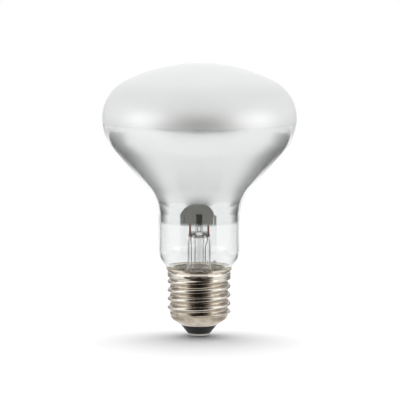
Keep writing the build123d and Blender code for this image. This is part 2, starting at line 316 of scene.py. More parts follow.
def table_top(name):
    """White laminate: matt and faintly cloudy near the bulb, blending into a plain white far away."""
    material, tree, place = new_finish(name)
    clouds = add_node(tree, "TexNoise", {"Vector": place, "Scale": grain(40.0)}).outputs[0]
    shade = add_node(tree, "Mix", {0: clouds, 6: tint("F4F4F4"), 7: tint("F6F6F6")}, data_type="RGBA")
    matt = add_node(tree, "BsdfDiffuse", {"Color": shade.outputs[2]})
    seen = seen_directly(tree)
    by_camera = add_node(tree, "LightPath").outputs["Is Camera Ray"]
    mirrored = add_node(tree, "Math", {0: seen, 1: by_camera}, operation="SUBTRACT")
    lift = add_node(tree, "Math", {0: mirrored.outputs[0], 1: MIRRORED_WHITE}, operation="MULTIPLY")
    white = add_node(tree, "Emission", {"Color": tint("FFFFFF")})
    distance = add_node(tree, "VectorMath", {0: place}, operation="LENGTH").outputs["Value"]
    fade = {"Value": distance, "From Min": TABLE_FADE[0] * MM, "From Max": TABLE_FADE[1] * MM}
    away = add_node(tree, "MapRange", fade, interpolation_type="SMOOTHSTEP").outputs[0]
    far = add_node(tree, "Math", {0: away, 1: seen}, operation="MULTIPLY")
    plain = add_node(tree, "Math", {0: far.outputs[0], 1: lift.outputs[0]}, operation="MAXIMUM")
    top = add_node(tree, "MixShader", {0: plain.outputs[0], 1: matt.outputs[0], 2: white.outputs[0]})
    add_node(tree, "OutputMaterial", {"Surface": top.outputs[0]})
    return material


def level_sheet(left, right, front, back, level):
    """Corners of a level rectangle, in millimetres."""
    return [(left, front, level), (right, front, level), (right, back, level), (left, back, level)]


def add_sheet(name, corners, finish):
    """A flat sheet of the studio through its corners in millimetres."""
    mesh = bpy.data.meshes.new(name)
    mesh.from_pydata(np.array(corners, float) * MM, [], [tuple(range(len(corners)))])
    mesh.materials.append(finish)
    card = bpy.data.objects.new(name, mesh)
    scene.collection.objects.link(card)
    return card


whole_table = level_sheet(-TABLE_HALF, TABLE_HALF, -TABLE_HALF, TABLE_HALF, -TABLE_DROP)
add_sheet("table", whole_table, table_top("white_laminate_table_top"))
print("table turns plain white from", TABLE_FADE[0], "to", TABLE_FADE[1], "mm away")

# %% [markdown]
# Two softboxes face the bulb from the left and the right, a little in front. They only show in glass
# and metal, as bright bands, and light nothing else. A square one hangs overhead. It shows in nothing
# and lights matt surfaces only, such as the table, where it draws the compact shadow under the bulb.
# Point lamps would be simpler, but their hard spots don't look like a studio.

# %% Lamps
SIDE_PLACE = (705, -395, 150)
SIDE_SIZE = (840, 280)
SIDE_POWER = 0.8
TOP_PLACE = (0, 60, 900)
TOP_SIZE = (450, 450)
TOP_POWER = 2.2
SIDES = ((-1, "left"), (1, "right"))


def add_softbox(name, place, size, power):
    """A rectangular lamp at a place in millimetres, turned to face the middle of the bulb."""
    lamp = bpy.data.lights.new(name, "AREA")
    lamp.shape = "RECTANGLE"
    lamp.size, lamp.size_y = (length * MM for length in size)
    lamp.energy = power
    box = bpy.data.objects.new(name, lamp)
    scene.collection.objects.link(box)
    box.location = Vector(place) * MM
    box.rotation_euler = facing(box.location)
    return box


for side, name in SIDES:
    side_box = add_softbox(f"softbox_{name}", (side * SIDE_PLACE[0], *SIDE_PLACE[1:]), SIDE_SIZE, SIDE_POWER)
    side_box.visible_diffuse = False
top_box = add_softbox("softbox_top", TOP_PLACE, TOP_SIZE, TOP_POWER)
top_box.visible_glossy = False
top_box.visible_transmission = False
print("softboxes: two of", SIDE_POWER, "W and one of", TOP_POWER, "W")

# %% [markdown]
# ## Cards
# Glass and metal show their form only by what they mirror, so a photographer sets cards and gauze just
# outside the view. Here they are sheets that show in glass and metal alone: the camera doesn't see
# them, and they take no light away. A picture of a studio could be mirrored instead, but then no card
# could be moved by itself. A plain card has two close tones in broad patches. Gauze is thickest over a
# core and thins out to nothing at its edges, so that its reflection has none.

# %% Finishes of the cards
GAUZE_TONE = "2A2A2A"


def card_finish(name, low, high, lit=1.0):
    """Rough cloth or card: two tones in broad soft patches, and how strongly it is lit."""
    material, tree, place = new_finish(name)
    patches = add_node(tree, "TexNoise", {"Vector": place, "Scale": grain(150.0), "Detail": 1.0})
    cloth = add_node(tree, "Mix", {0: patches.outputs[0], 6: tint(low), 7: tint(high)}, data_type="RGBA")
    dull = add_node(tree, "Emission", {"Color": cloth.outputs[2], "Strength": lit})
    add_node(tree, "OutputMaterial", {"Surface": dull.outputs[0]})
    return material


def gauze_finish(name, colour, most, core):
    """Gauze on a frame: at most so thick over its core, a share of its width and height, thinning outward."""
    material, tree, _ = new_finish(name)
    spread = add_node(tree, "UVMap").outputs[0]
    centred = {0: spread, 1: (2, 2, 0), 2: (-1, -1, 0)}
    doubled = add_node(tree, "VectorMath", centred, operation="MULTIPLY_ADD")
    apart = add_node(tree, "VectorMath", {0: doubled.outputs[0]}, operation="ABSOLUTE")
    axes = add_node(tree, "SeparateXYZ", {"Vector": apart.outputs[0]}).outputs
    fade = {"From Min": core[0], "From Max": 1.0, "To Min": 1.0, "To Max": 0.0}
    across = add_node(tree, "MapRange", {"Value": axes["X"], **fade}, interpolation_type="SMOOTHSTEP")
    fade.update({"From Min": core[1], "To Min": most})
    upward = add_node(tree, "MapRange", {"Value": axes["Y"], **fade}, interpolation_type="SMOOTHSTEP")
    thick = add_node(tree, "Math", {0: across.outputs[0], 1: upward.outputs[0]}, operation="MULTIPLY")
    weave = add_node(tree, "Emission", {"Color": tint(colour)})
    gaps = add_node(tree, "BsdfTransparent")
    cloth = add_node(tree, "MixShader", {0: thick.outputs[0], 1: gaps.outputs[0], 2: weave.outputs[0]})
    add_node(tree, "OutputMaterial", {"Surface": cloth.outputs[0]})
    return material


def add_card(name, corners, finish):
    """A sheet that shows in glass and metal only, and that neither blocks nor sends lamplight."""
    card = add_sheet(name, corners, finish)
    card.data.uv_layers.new(name="UVMap")
    card.visible_camera = False
    card.visible_shadow = False
    card.visible_diffuse = False
    return card


def upright_sheet(left, right, away, low, high):
    """Corners of an upright rectangle square to the view line, in millimetres."""
    return [(left, away, low), (right, away, low), (right, away, high), (left, away, high)]


def wedge(near, far, left, right, level):
    """Corners of a level sheet between two distances in front, bounded by two angles off the view line."""
    a, b = tan(radians(left)), tan(radians(right))
    corners = [(near * a, -near), (near * b, -near), (far * b, -far), (far * a, -far)]
    return [(*corner, level) for corner in corners]


print("gauze gives back", round(tint(GAUZE_TONE)[0], 3), "of what a white card does")

# %% [markdown]
# The bright neck of the mirror shows what stands in front: past the bowed front edge of the table lies
# the dim room, with the black cloth of the camera's stand in its middle. Together they make the dark
# arch with its slit. The edge could be straight, but the round neck bends what it mirrors, and a
# hyperbola that is flatter to the left than to the right comes out as the arch seen. A crack and a
# corner of the room make the fine lines beside it. The wall at the far end, dim below and pale above,
# shades the front of the dome.

# %% Dim room in front
TABLE_FRONT = 67.0
TABLE_EDGE = 9.0
TABLE_BOW = (0.57, 0.95)
EDGE_SPAN = (-230.0, 150.0)
EDGE_POINTS = 39
ROOM_LEVEL = 0.5
ROOM_DEPTH = 900.0
ROOM_ANGLES = (-57.0, 40.0)
CORNER_ANGLES = (42.5, 50.0)
CRACK_ANGLES = (-44.0, -41.5)
STAND_ANGLES = (-8.4, 8.4)
CORNER_FROM = 150.0
STAND_FROM = 165.0
CRACK_LIFT = 0.3
STAND_LIFT = 0.5
WALL_ANGLE = 50.0
WALL_DIM = 120.0
WALL_TOP = 420.0

edge_card = card_finish("table_edge", "4C4A48", "545250")
room_card = card_finish("dim_room", "74736F", "7E7D79")
pale_card = card_finish("pale_room_wall", "BEBCB8", "C8C6C2")
black_card = card_finish("black_cloth", "2A2826", "343230")

along_edge = np.linspace(*EDGE_SPAN, EDGE_POINTS)
bow = np.hypot(TABLE_FRONT, along_edge * np.where(along_edge < 0, *TABLE_BOW))
table_front = np.stack([along_edge, -bow, 0 * bow + ROOM_LEVEL], axis=1)
floor_front = table_front - [0.0, TABLE_EDGE, 0.0]
floor_back = wedge(0.0, ROOM_DEPTH, *ROOM_ANGLES, ROOM_LEVEL)[2:]
wall_half = ROOM_DEPTH * tan(radians(WALL_ANGLE))
add_card("room_edge", np.concatenate([table_front, floor_front[::-1]]), edge_card)
add_card("room_floor", np.concatenate([floor_front, floor_back]), room_card)
add_card("room_corner", wedge(CORNER_FROM, ROOM_DEPTH, *CORNER_ANGLES, ROOM_LEVEL), room_card)
add_card("room_crack", wedge(CORNER_FROM, ROOM_DEPTH, *CRACK_ANGLES, ROOM_LEVEL + CRACK_LIFT), edge_card)
add_card("camera_stand", wedge(STAND_FROM, ROOM_DEPTH, *STAND_ANGLES, ROOM_LEVEL + STAND_LIFT), black_card)
add_card("room_wall", upright_sheet(-wall_half, wall_half, -ROOM_DEPTH, 0, WALL_DIM), room_card)
add_card("room_wall_top", upright_sheet(-wall_half, wall_half, -ROOM_DEPTH, WALL_DIM, WALL_TOP), pale_card)
print("table edge", round(-table_front[:, 1].max(), 1), "mm in front of the bulb's axis")

# %% [markdown]
# White fill cards hang close in front, too high to show in the neck. They keep the dim room out of the
# bowl, which mirrors them instead and stays pale. A pale grey veil stands behind the neck, so that the
# clear glass looks a touch darker than the plain white round it. A lamp could lighten the bowl too, but
# its spot would show in the satin film.

# %% White cards and veil
FILL_LEVEL = 48.5
fill_card = card_finish("white_fill_card", "FAFAFA", "FFFFFF", 1.1)
veil_card = card_finish("pale_grey_veil", "F8F8F8", "FAFAFA")
white_cards = {
    "fill_front": upright_sheet(-120, 120, -60, FILL_LEVEL, 77),
    "fill_near": upright_sheet(-70, 70, -45, FILL_LEVEL, 70),
    "fill_shelf": level_sheet(-80, 80, -60, -37, FILL_LEVEL),
}
for name, corners in white_cards.items():
    add_card(name, corners, fill_card)
add_card("veil", upright_sheet(-34, 34, 60, 0.1, 54), veil_card)
print("white cards", list(white_cards))

# %% [markdown]
# A skirt of brown gauze hangs in front of the cap, with a black strip in its middle. The plated thread
# mirrors it as the dark band down its front. Gauze on the table in front of the bulb shows in the flare
# as the soft grey halo over the arch. Hard cards would draw lines there, and the real reflections have
# none.

# %% Gauze in front
SKIRT_LEVELS = (8, 25)
skirt_gauze = gauze_finish("brown_gauze", "4F4841", 1.0, (0.3, 0.98))
middle_gauze = gauze_finish("black_gauze", "262422", 1.0, (0.3, 0.98))
halo_gauze = gauze_finish("halo_gauze", GAUZE_TONE, 0.7, (0.35, 0.0))
add_card("skirt", upright_sheet(-14.5, 14.5, -16, *SKIRT_LEVELS), skirt_gauze)
add_card("skirt_middle", upright_sheet(-4.5, 4.5, -15.9, *SKIRT_LEVELS), middle_gauze)
add_card("halo", level_sheet(-56, 56, -86, -36, 0.9), halo_gauze)
print("skirt from", *SKIRT_LEVELS, "mm up")

# %% [markdown]
# The rest of the gauze is the same at both sides. Cloths lie on the table, one far and one near, and a
# small one beside the cap rounds off its base cone. A wing hangs level beside the flare, and a flag
# leans outward. These draw the soft dark flanks of the bowl. A strip beside the neck gives the mirror
# its darker edges, and thin gauze far behind gives the clear glass its grey ones. Each place is written
# once, for the right side.

# %% Gauze at both sides
LEVEL_GAUZE = {
    "cloth": ((100, 320, 0, 300, 0.6), gauze_finish("floor_gauze", GAUZE_TONE, 0.4, (0.35, 0.35))),
    "near_cloth": ((25, 150, -10, 170, 0.8), gauze_finish("near_floor_gauze", GAUZE_TONE, 0.8, (0.35, 0.35))),
    "base_cloth": ((7, 36, -26, 26, 0.4), gauze_finish("base_gauze", GAUZE_TONE, 0.4, (0.3, 0.2))),
    "wing": ((22, 130, -18, 90, 57.6), gauze_finish("wing_gauze", GAUZE_TONE, 0.72, (0.45, 0.45))),
}
STANDING_GAUZE = {
    "flag": (
        [(60, 0, -16), (60, 230, -16), (190, 230, 70), (190, 0, 70)],
        gauze_finish("dark_gauze", GAUZE_TONE, 0.8, (0.0, 0.0)),
    ),
    "neck_strip": (
        [(130, 22, 31), (56, 98, 31), (56, 98, 50), (130, 22, 50)],
        gauze_finish("strip_gauze", GAUZE_TONE, 0.15, (0.5, 0.6)),
    ),
    "gauze": (
        upright_sheet(70, 360, 400, -150, 330),
        gauze_finish("thin_gauze", "4A4A4A", 0.5, (0.0, 0.0)),
    ),
}

for side, side_name in SIDES:
    for name, (sheet, finish) in LEVEL_GAUZE.items():
        near, far, *rest = sheet
        add_card(f"{name}_{side_name}", level_sheet(side * near, side * far, *rest), finish)
    for name, (corners, finish) in STANDING_GAUZE.items():
        add_card(f"{name}_{side_name}", np.array(corners) * [side, 1, 1], finish)
print("gauze at each side", len(LEVEL_GAUZE) + len(STANDING_GAUZE))

# %% [markdown]
# ## The blown bulb
# The envelope is one piece of soda-lime glass, blown into a mould: a shallow crown, a tight bend at the
# widest line, a straight cone, a flare and a neck. It could be sculpted, but a blown shape is round
# about its axis, so only its outline has to be drawn. An inset outline with the same bend centres gives
# the inner face, so the wall is the same all over.

# %% Outline of the bulb
bulb_low, bulb_high = reach("glass_bulb")
GLASS_WALL = 0.8
BULB_RADIUS = bulb_high[0]
CROWN_RADIUS = 68.6
DOME_EDGE = 17.4
BOWL_EDGE = 20.2
CONE_ANGLE = 42.6
FLARE = 17.7
NECK_RADIUS = 16.8
NECK_STRAIGHT = 14.0
SHOULDER = 9.6
SEAL_RADIUS = 11.3

dome_axis = BULB_RADIUS - DOME_EDGE
crown_level = bulb_high[2] - CROWN_RADIUS
widest_level = crown_level + sqrt((CROWN_RADIUS - DOME_EDGE) ** 2 - dome_axis**2)
dome_lean = degrees(atan2(widest_level - crown_level, dome_axis))
lean = radians(CONE_ANGLE)
bends = BOWL_EDGE + FLARE
cone_rise = (BULB_RADIUS - NECK_RADIUS - bends * (1 - cos(lean))) / tan(lean)
flare_level = widest_level - bends * sin(lean) - cone_rise
shoulder_level = flare_level - NECK_STRAIGHT
shoulder_axis = NECK_RADIUS - SHOULDER


def bulb_outline(inset):
    """Outline of the bulb at a depth under its outer face, from the top down: the arcs and runs in turn."""
    seal = SEAL_RADIUS - inset
    shoulder = SHOULDER - inset
    turn = degrees(atan2(sqrt(shoulder**2 - (seal - shoulder_axis) ** 2), seal - shoulder_axis))
    return outline(
        arc((0, crown_level), CROWN_RADIUS - inset, 90, dome_lean, 1.2),
        arc((dome_axis, widest_level), DOME_EDGE - inset, dome_lean, 0, 2.5),
        arc((BULB_RADIUS - BOWL_EDGE, widest_level), BOWL_EDGE - inset, 0, -CONE_ANGLE, 2.2),
        arc((NECK_RADIUS + FLARE, flare_level), FLARE + inset, 180 - CONE_ANGLE, 180, 2.2),
        arc((shoulder_axis, shoulder_level), shoulder, 0, -turn, 3.0),
        (seal, bulb_low[2]),
    )


print("widest", round(widest_level, 2), "neck", round(shoulder_level, 2), "to", round(flare_level, 2))

# %% [markdown]
# Two finishes meet on this piece. From outside, the neck and the bowl are bright clear glass. A thin
# see-through skin would be quicker, but a neck without a wall shows no edges, so this is refracting
# glass with an outer and an inner face. A view through the neck crosses a dozen such faces, so light
# may bounce more often than usual.

# %% Clear glass
GLASS_BOUNCES = 28
MIRROR_BOUNCES = 12
GAUZE_BOUNCES = 24
scene.cycles.max_bounces = GLASS_BOUNCES
scene.cycles.transmission_bounces = GLASS_BOUNCES
scene.cycles.glossy_bounces = MIRROR_BOUNCES
scene.cycles.transparent_max_bounces = GAUZE_BOUNCES
scene.cycles.caustics_reflective = False


def clear_glass(name, colour):
    """Blown soda-lime glass: bright and colourless, with the slow waves of a wall that set in a mould.

    Lamplight passes straight through it, as it mostly does through a thin wall.
    """
    material, tree, place = new_finish(name)
    waves = add_node(tree, "TexNoise", {"Vector": place, "Scale": grain(9.0), "Detail": 1.0})
    slow = add_node(tree, "Bump", {"Height": waves.outputs[0], "Strength": 0.12, "Distance": 0.2 * MM})
    wall = {
        "Base Color": tint(colour),
        "Roughness": 0.0,
        "IOR": 1.52,
        "Transmission Weight": 1.0,
        "Normal": slow.outputs[0],
    }
    glass = add_node(tree, "BsdfPrincipled", wall)
    by_lamp = add_node(tree, "LightPath").outputs["Is Shadow Ray"]
    open_way = add_node(tree, "BsdfTransparent", {"Color": tint("F4F4F4")})
    both = add_node(tree, "MixShader", {0: by_lamp, 1: glass.outputs[0], 2: open_way.outputs[0]})
    add_node(tree, "OutputMaterial", {"Surface": both.outputs[0]})
    return material


bright_glass = clear_glass("blown_soda_lime_glass", "FCFDFD")
print("finish", bright_glass.name)

# %% [markdown]
# The dome is etched on its inside with acid, so that it scatters light and hides the filament. Unlit,
# and with the mirror's light behind it, it looks like satin silver. Rough refracting glass would show
# that only after very many light paths, so the dome is a satin skin that mirrors most and scatters a
# little.

# %% Etched glass
def frosted_glass(name):
    """Acid-etched glass: an even white haze, a little cloudy where the acid bit deeper.

    The etch pits are drawn far coarser than real ones, which are too fine to show.
    """
    material, tree, place = new_finish(name)
    clouds = add_node(tree, "TexNoise", {"Vector": place, "Scale": grain(14.0), "Detail": 3.0}).outputs[0]
    pits = add_node(tree, "TexNoise", {"Vector": place, "Scale": grain(0.5), "Detail": 2.0}).outputs[0]
    etch = add_node(tree, "Bump", {"Height": pits, "Strength": 0.1, "Distance": 0.02 * MM}).outputs[0]
    skin = two_tones(tree, clouds, "DDDEDE", "E3E4E4", (0.44, 0.5))
    skin.update({"IOR": 1.52, "Metallic": 0.92, "Normal": etch})
    glass = add_node(tree, "BsdfPrincipled", skin)
    add_node(tree, "OutputMaterial", {"Surface": glass.outputs[0]})
    return material


etched_glass = frosted_glass("acid_etched_glass")
print("finish", etched_glass.name)

# %% [markdown]
# The wall is one closed skin, out along the outer outline and back along the inner one. The dome could
# be an object of its own, but the glass is one piece, so its faces above the mirror's edge take the
# second finish. A point of the outline is set at that level, so that the change runs straight round the
# bulb.

# %% Build the bulb
coat_low, coat_high = reach("mirror_coat")
SEAM_DROP = 0.1
seam_level = coat_high[2] - SEAM_DROP


def with_level(line, level):
    """The outline with one more point where it passes a level."""
    at = np.searchsorted(-line[:, 1], -level)
    return np.insert(line, at, (np.interp(-level, -line[:, 1], line[:, 0]), level), axis=0)


outside, inside = (with_level(bulb_outline(inset), seam_level) for inset in (0, GLASS_WALL))
bulb_skin = closed_skin(turned(np.concatenate([outside, inside[::-1]])))
bulb = add_piece("glass_bulb", [bulb_skin], [bright_glass, etched_glass], "clear_glass", "glass_bulb")
centres = np.zeros(len(bulb.data.polygons) * 3)
bulb.data.polygons.foreach_get("center", centres)
in_dome = centres.reshape(-1, 3)[:, 2] > seam_level * MM
bulb.data.polygons.foreach_set("material_index", in_dome.astype(np.int32))
bulb.data.update()
print("frosted faces", int(in_dome.sum()))

# %% [markdown]
# ## The mirror
# Aluminium is boiled off a hot wire in a vacuum and settles on the inside of the bowl as a film. The
# acid etched the inside of the bowl too, so the film is satin there. At the top of the neck the glass
# was left bright, and there the film is a true mirror. Its lower edge is too thin to hide what is
# behind, so it fades out. Two materials would meet in a hard line, so one material changes with the
# height.

# %% Mirror finish
SATIN_BAND = (54.3, 58.4)
FILM_FADE = 1.6


def aluminium_film(name):
    """Vapour-deposited aluminium: silver white, satin on the etched bowl and mirror bright in the neck."""
    material, tree, place = new_finish(name)
    height = add_node(tree, "SeparateXYZ", {"Vector": place}).outputs["Z"]
    band = {"Value": height, "From Min": SATIN_BAND[0] * MM, "From Max": SATIN_BAND[1] * MM}
    etched = add_node(tree, "MapRange", band, interpolation_type="SMOOTHSTEP").outputs[0]
    rough = add_node(tree, "MapRange", {"Value": etched, "To Min": 0.1, "To Max": 0.46})
    clouds = add_node(tree, "TexNoise", {"Vector": place, "Scale": grain(10.0), "Detail": 3.0}).outputs[0]
    silver = add_node(tree, "Mix", {0: clouds, 6: tint("F9FAFA"), 7: tint("FFFFFF")}, data_type="RGBA")
    shade = add_node(tree, "Mix", {0: etched, 6: tint("ECEDED"), 7: silver.outputs[2]}, data_type="RGBA")
    edge = {"Value": height, "From Min": coat_low[2] * MM, "From Max": (coat_low[2] + FILM_FADE) * MM}
    thin = add_node(tree, "MapRange", edge)
    skin = {
        "Base Color": shade.outputs[2],
        "Metallic": 1.0,
        "Roughness": rough.outputs[0],
        "Alpha": thin.outputs[0],
    }
    metal = add_node(tree, "BsdfPrincipled", skin)
    add_node(tree, "OutputMaterial", {"Surface": metal.outputs[0]})
    return material


film_finish = aluminium_film("vapour_deposited_aluminium")
print("finish", film_finish.name, "satin above", SATIN_BAND[1], "mm")

# %% [markdown]
# The film itself is a turned skin just inside the glass: the bulb's own outline, taken a little deeper
# and cut off at the film's two ends. It could share the glass's inner face, but then glass and metal
# would lie in one place and flicker.

# %% Build the mirror
COAT_THICKNESS = 0.1
COAT_GAP = 0.005


def cut_outline(line, low, high):
    """The part of an outline between two levels, with a point at each cut."""
    kept = line[(line[:, 1] > low) & (line[:, 1] < high)]
    top, bottom = ((np.interp(-level, -line[:, 1], line[:, 0]), level) for level in (high, low))
    return np.concatenate([[top], kept, [bottom]])


depths = (GLASS_WALL + COAT_GAP, GLASS_WALL + COAT_THICKNESS)
outer, inner = (cut_outline(bulb_outline(depth), coat_low[2], coat_high[2]) for depth in depths)
film = closed_skin(turned(np.concatenate([outer, inner[::-1]])), loop=True)
add_piece("mirror_coat", [film], [film_finish], "mirror_film", "mirror_coat")

# %% [markdown]
# ## The screw shell
# The cap is thin brass sheet, rolled into a round thread and plated with nickel. Blender's Screw
# modifier could wind a section into a helix, but a real thread fades out at both ends. So the shell is
# a function of the angle round the axis and the height. First come its sizes and the levels where its
# parts begin.

# %% Sizes of the shell
shell_high = reach("screw_shell")[1]
insulator_low, insulator_high = reach("insulator")
CREST_RADIUS = 13.2
THREAD_DEPTH = 1.1
THREAD_PITCH = 3.629
THREAD_ANGLE = 353.0
THREAD_LENGTH = 13.6
RUN_IN = 0.6
RUN_OUT = 1.64
SHELL_WALL = 0.3
COLLAR_RADIUS = 13.25
COLLAR_LENGTH = 2.3
RIM_FLARE = 0.45
RIM_HEIGHT = 0.8
BASE_RADIUS = 7.6
BASE_ANGLE = 33.0
BASE_BEND = 3.2
INSULATOR_DROP = 3.5

rim_level = shell_high[2]
lip_level = rim_level - RIM_HEIGHT
collar_level = lip_level - COLLAR_LENGTH
thread_top = collar_level - RUN_OUT
thread_bottom = thread_top - THREAD_LENGTH
bend_level = thread_bottom - RUN_IN
opening_level = insulator_low[2] + INSULATOR_DROP
root_radius = CREST_RADIUS - THREAD_DEPTH
mean_radius = CREST_RADIUS - THREAD_DEPTH / 2
bend_axis = root_radius - BASE_BEND
print("thread from", round(thread_bottom, 2), "to", round(thread_top, 2), "rim", round(rim_level, 2))

# %% [markdown]
# In section the thread is a chain of equal arcs, hollow and crest by turns. A sine wave would be
# simpler, but its crests are too sharp for a rolled thread. Going up, the radius swings from root to
# crest and back once per pitch. One turn round the axis lifts the swing by one pitch, which makes the
# helix.

# %% Thread wave
def knuckle(phase):
    """Height of the thread's wave, from -1 to 1, at a phase in turns: two equal arcs that meet at a slope."""
    quarter = THREAD_PITCH / 4
    swing = THREAD_DEPTH / 2
    radius = (quarter**2 + swing**2) / (2 * swing)
    from_crest = np.abs((phase + 0.5) % 1 - 0.5) * THREAD_PITCH
    in_crest = from_crest <= quarter
    off = np.where(in_crest, from_crest, 2 * quarter - from_crest)
    rise = (swing - radius + np.sqrt(radius**2 - off**2)) / swing
    return np.where(in_crest, rise, -rise)


def smooth(x):
    """Rises from nought to one with level ends."""
    x = np.clip(x, 0, 1)
    return x * x * (3 - 2 * x)


def shell_radius(angle, height):
    """Outside radius of the thread at an angle and a height: the knuckle wave, fading in and out."""
    phase = (height - thread_bottom) / THREAD_PITCH - (angle - radians(THREAD_ANGLE)) / (2 * pi)
    threaded = mean_radius + THREAD_DEPTH / 2 * knuckle(phase)
    fade_in = smooth((height - bend_level) / RUN_IN)
    fade_out = smooth((collar_level - height) / RUN_OUT)
    return np.where(
        height < thread_bottom,
        root_radius + (threaded - root_radius) * fade_in,
        COLLAR_RADIUS + (threaded - COLLAR_RADIUS) * fade_out,
    )


print("turns of the thread", round(THREAD_LENGTH / THREAD_PITCH, 2))

# %% [markdown]
# One face of the shell runs from the hole in its base up the cone, over the bend, along the thread and
# up the collar, which swells into a bead with a groove over it before the rim opens out. The inner face
# is the same walk at the depth of the wall. A Solidify modifier could give the wall too, but it would
# cut the edge of the hole at a slant, and the real one is upright.

# %% Faces of the shell
SHELL_STEPS = 200
THREAD_ROWS = 150
BEAD = 2.2
BEAD_RISE = 0.8
BEAD_TURN = 32
COLLAR_START = 0.3
GROOVE = 0.42
GROOVE_ROUND = 0.25
GROOVE_DROP = 0.3
RIM_UPRIGHT = 0.5


def collar_outline(radius):
    """Outline of the collar at a radius: a run, the bead's arc, the groove's arc and the opened rim."""
    return outline(
        (radius, collar_level + COLLAR_START),
        arc((radius - BEAD, collar_level + BEAD_RISE), BEAD, 0, BEAD_TURN, 4.0),
        arc((radius - GROOVE + GROOVE_ROUND, lip_level - GROOVE_DROP), GROOVE_ROUND, -150, -210, 10.0),
        (radius + RIM_FLARE, rim_level - RIM_UPRIGHT),
        (radius + RIM_FLARE, rim_level),
        step=0.3,
    )


def shell_face(inset):
    """Grid of one face of the shell, from the base's opening up to the rim, at a depth under the outside."""
    around = np.linspace(0, 2 * pi, SHELL_STEPS, endpoint=False)
    bend = arc((bend_axis, bend_level), BASE_BEND - inset, BASE_ANGLE - 90, 0, 4.0)
    lowest = opening_level + inset / cos(radians(BASE_ANGLE))
    base = turned(outline((BASE_RADIUS, lowest), bend, step=0.6), SHELL_STEPS)
    heights = np.linspace(bend_level, collar_level, THREAD_ROWS)[1:, None]
    radius = shell_radius(around[None, :], heights) - inset
    levels = np.broadcast_to(heights, radius.shape)
    thread = np.stack([radius * np.cos(around), radius * np.sin(around), levels], axis=-1)
    collar = turned(collar_outline(COLLAR_RADIUS - inset), SHELL_STEPS)
    return np.concatenate([base, thread, collar])


shell_grid = np.concatenate([shell_face(0), shell_face(SHELL_WALL)[::-1]])
print("shell rows and columns", *shell_grid.shape[:2])

# %% [markdown]
# The plating is a warm silver with fine rub marks from the holder, and painted shade makes it darker
# and browner in the hollows. The hollows could be painted by hand, but their distance from the axis
# already tells where they are.

# %% Build the shell
def nickel_plate(name):
    """Nickel-plated brass: a warm silver, with painted shade that makes it darker and browner in the hollows.

    The rub marks are drawn coarser than real ones, which are too fine to show.
    """
    material, tree, place = new_finish(name)
    level = add_node(tree, "Mapping", {"Vector": place, "Scale": (1.0, 1.0, 0.0)})
    radius = add_node(tree, "VectorMath", {0: level.outputs[0]}, operation="LENGTH").outputs["Value"]
    depth = {"Value": radius, "From Min": root_radius * MM, "From Max": CREST_RADIUS * MM}
    hollow = add_node(tree, "MapRange", {**depth, "To Min": 1.7, "To Max": 0.0})
    clouds = add_node(tree, "TexNoise", {"Vector": place, "Scale": grain(2.5), "Detail": 4.0}).outputs[0]
    # painted shade: the colour turns darker and browner, in mottled patches, toward the hollows of the thread
    hollow_shade = add_node(tree, "Math", {0: hollow.outputs[0], 1: clouds}, operation="MULTIPLY").outputs[0]
    colour = add_node(tree, "Mix", {0: hollow_shade, 6: tint("DCD6CC"), 7: tint("B4A796")}, data_type="RGBA")
    rough = add_node(tree, "MapRange", {"Value": clouds, "To Min": 0.06, "To Max": 0.18})
    stretched = add_node(tree, "Mapping", {"Vector": place, "Scale": (1.0, 1.0, 12.0)})
    rubs = add_node(tree, "TexNoise", {"Vector": stretched.outputs[0], "Scale": grain(3.0), "Detail": 3.0})
    fine = add_node(tree, "Bump", {"Height": rubs.outputs[0], "Strength": 0.15, "Distance": 0.03 * MM})
    skin = {
        "Base Color": colour.outputs[2],
        "Metallic": 1.0,
        "Roughness": rough.outputs[0],
        "Normal": fine.outputs[0],
    }
    metal = add_node(tree, "BsdfPrincipled", skin)
    add_node(tree, "OutputMaterial", {"Surface": metal.outputs[0]})
    return material


plated = nickel_plate("nickel_plated_rolled_brass")
add_piece("screw_shell", [closed_skin(shell_grid, loop=True)], [plated], "plated_brass", "screw_shell")

# %% [markdown]
# ## Insulator
# Molten black glass is pressed into the shell's base, and holds the contact by its eyelet. It could be
# a plain cone, but the press leaves a soft edge at its foot and a collar that fills the shell's inside,
# so the turned outline follows those.

# %% Insulator
FOOT_RADIUS = 4.9
FOOT_ROUND = 0.25
EYELET_RADIUS = 1.55
EYELET_PLAY = 0.02
OPENING_PLAY = 0.03
SEAT_PLAY = 0.05
foot_level = insulator_low[2]
pressed_level = insulator_high[2]
seat_level = opening_level + SHELL_WALL / cos(radians(BASE_ANGLE))
fill_radius = BASE_RADIUS + (pressed_level - seat_level) / tan(radians(BASE_ANGLE))


def pressed_black_glass(name):
    """Black cap glass: near black and dull from the press, with small pits and a weak shine."""
    material, tree, place = new_finish(name)
    pits = add_node(tree, "TexNoise", {"Vector": place, "Scale": grain(0.35), "Detail": 3.0}).outputs[0]
    clouds = add_node(tree, "TexNoise", {"Vector": place, "Scale": grain(3.0), "Detail": 2.0}).outputs[0]
    fine = add_node(tree, "Bump", {"Height": pits, "Strength": 0.3, "Distance": 0.05 * MM}).outputs[0]
    skin = two_tones(tree, clouds, "0E0E0F", "1A1A1B", (0.38, 0.6))
    skin.update({"IOR": 1.52, "Specular IOR Level": 0.2, "Normal": fine})
    glass = add_node(tree, "BsdfPrincipled", skin)
    add_node(tree, "OutputMaterial", {"Surface": glass.outputs[0]})
    return material


foot = outline(
    (EYELET_RADIUS + EYELET_PLAY, foot_level),
    arc((FOOT_RADIUS - FOOT_ROUND, foot_level + FOOT_ROUND), FOOT_ROUND, -90, -45, 9.0),
    (BASE_RADIUS - OPENING_PLAY, opening_level),
    (BASE_RADIUS - OPENING_PLAY, seat_level),
    (fill_radius - SEAT_PLAY, pressed_level),
    (EYELET_RADIUS + EYELET_PLAY, pressed_level),
    step=0.4,
)
black_glass = pressed_black_glass("pressed_black_cap_glass")
add_piece("insulator", [closed_skin(turned(foot), loop=True)], [black_glass], "black_glass", "insulator")

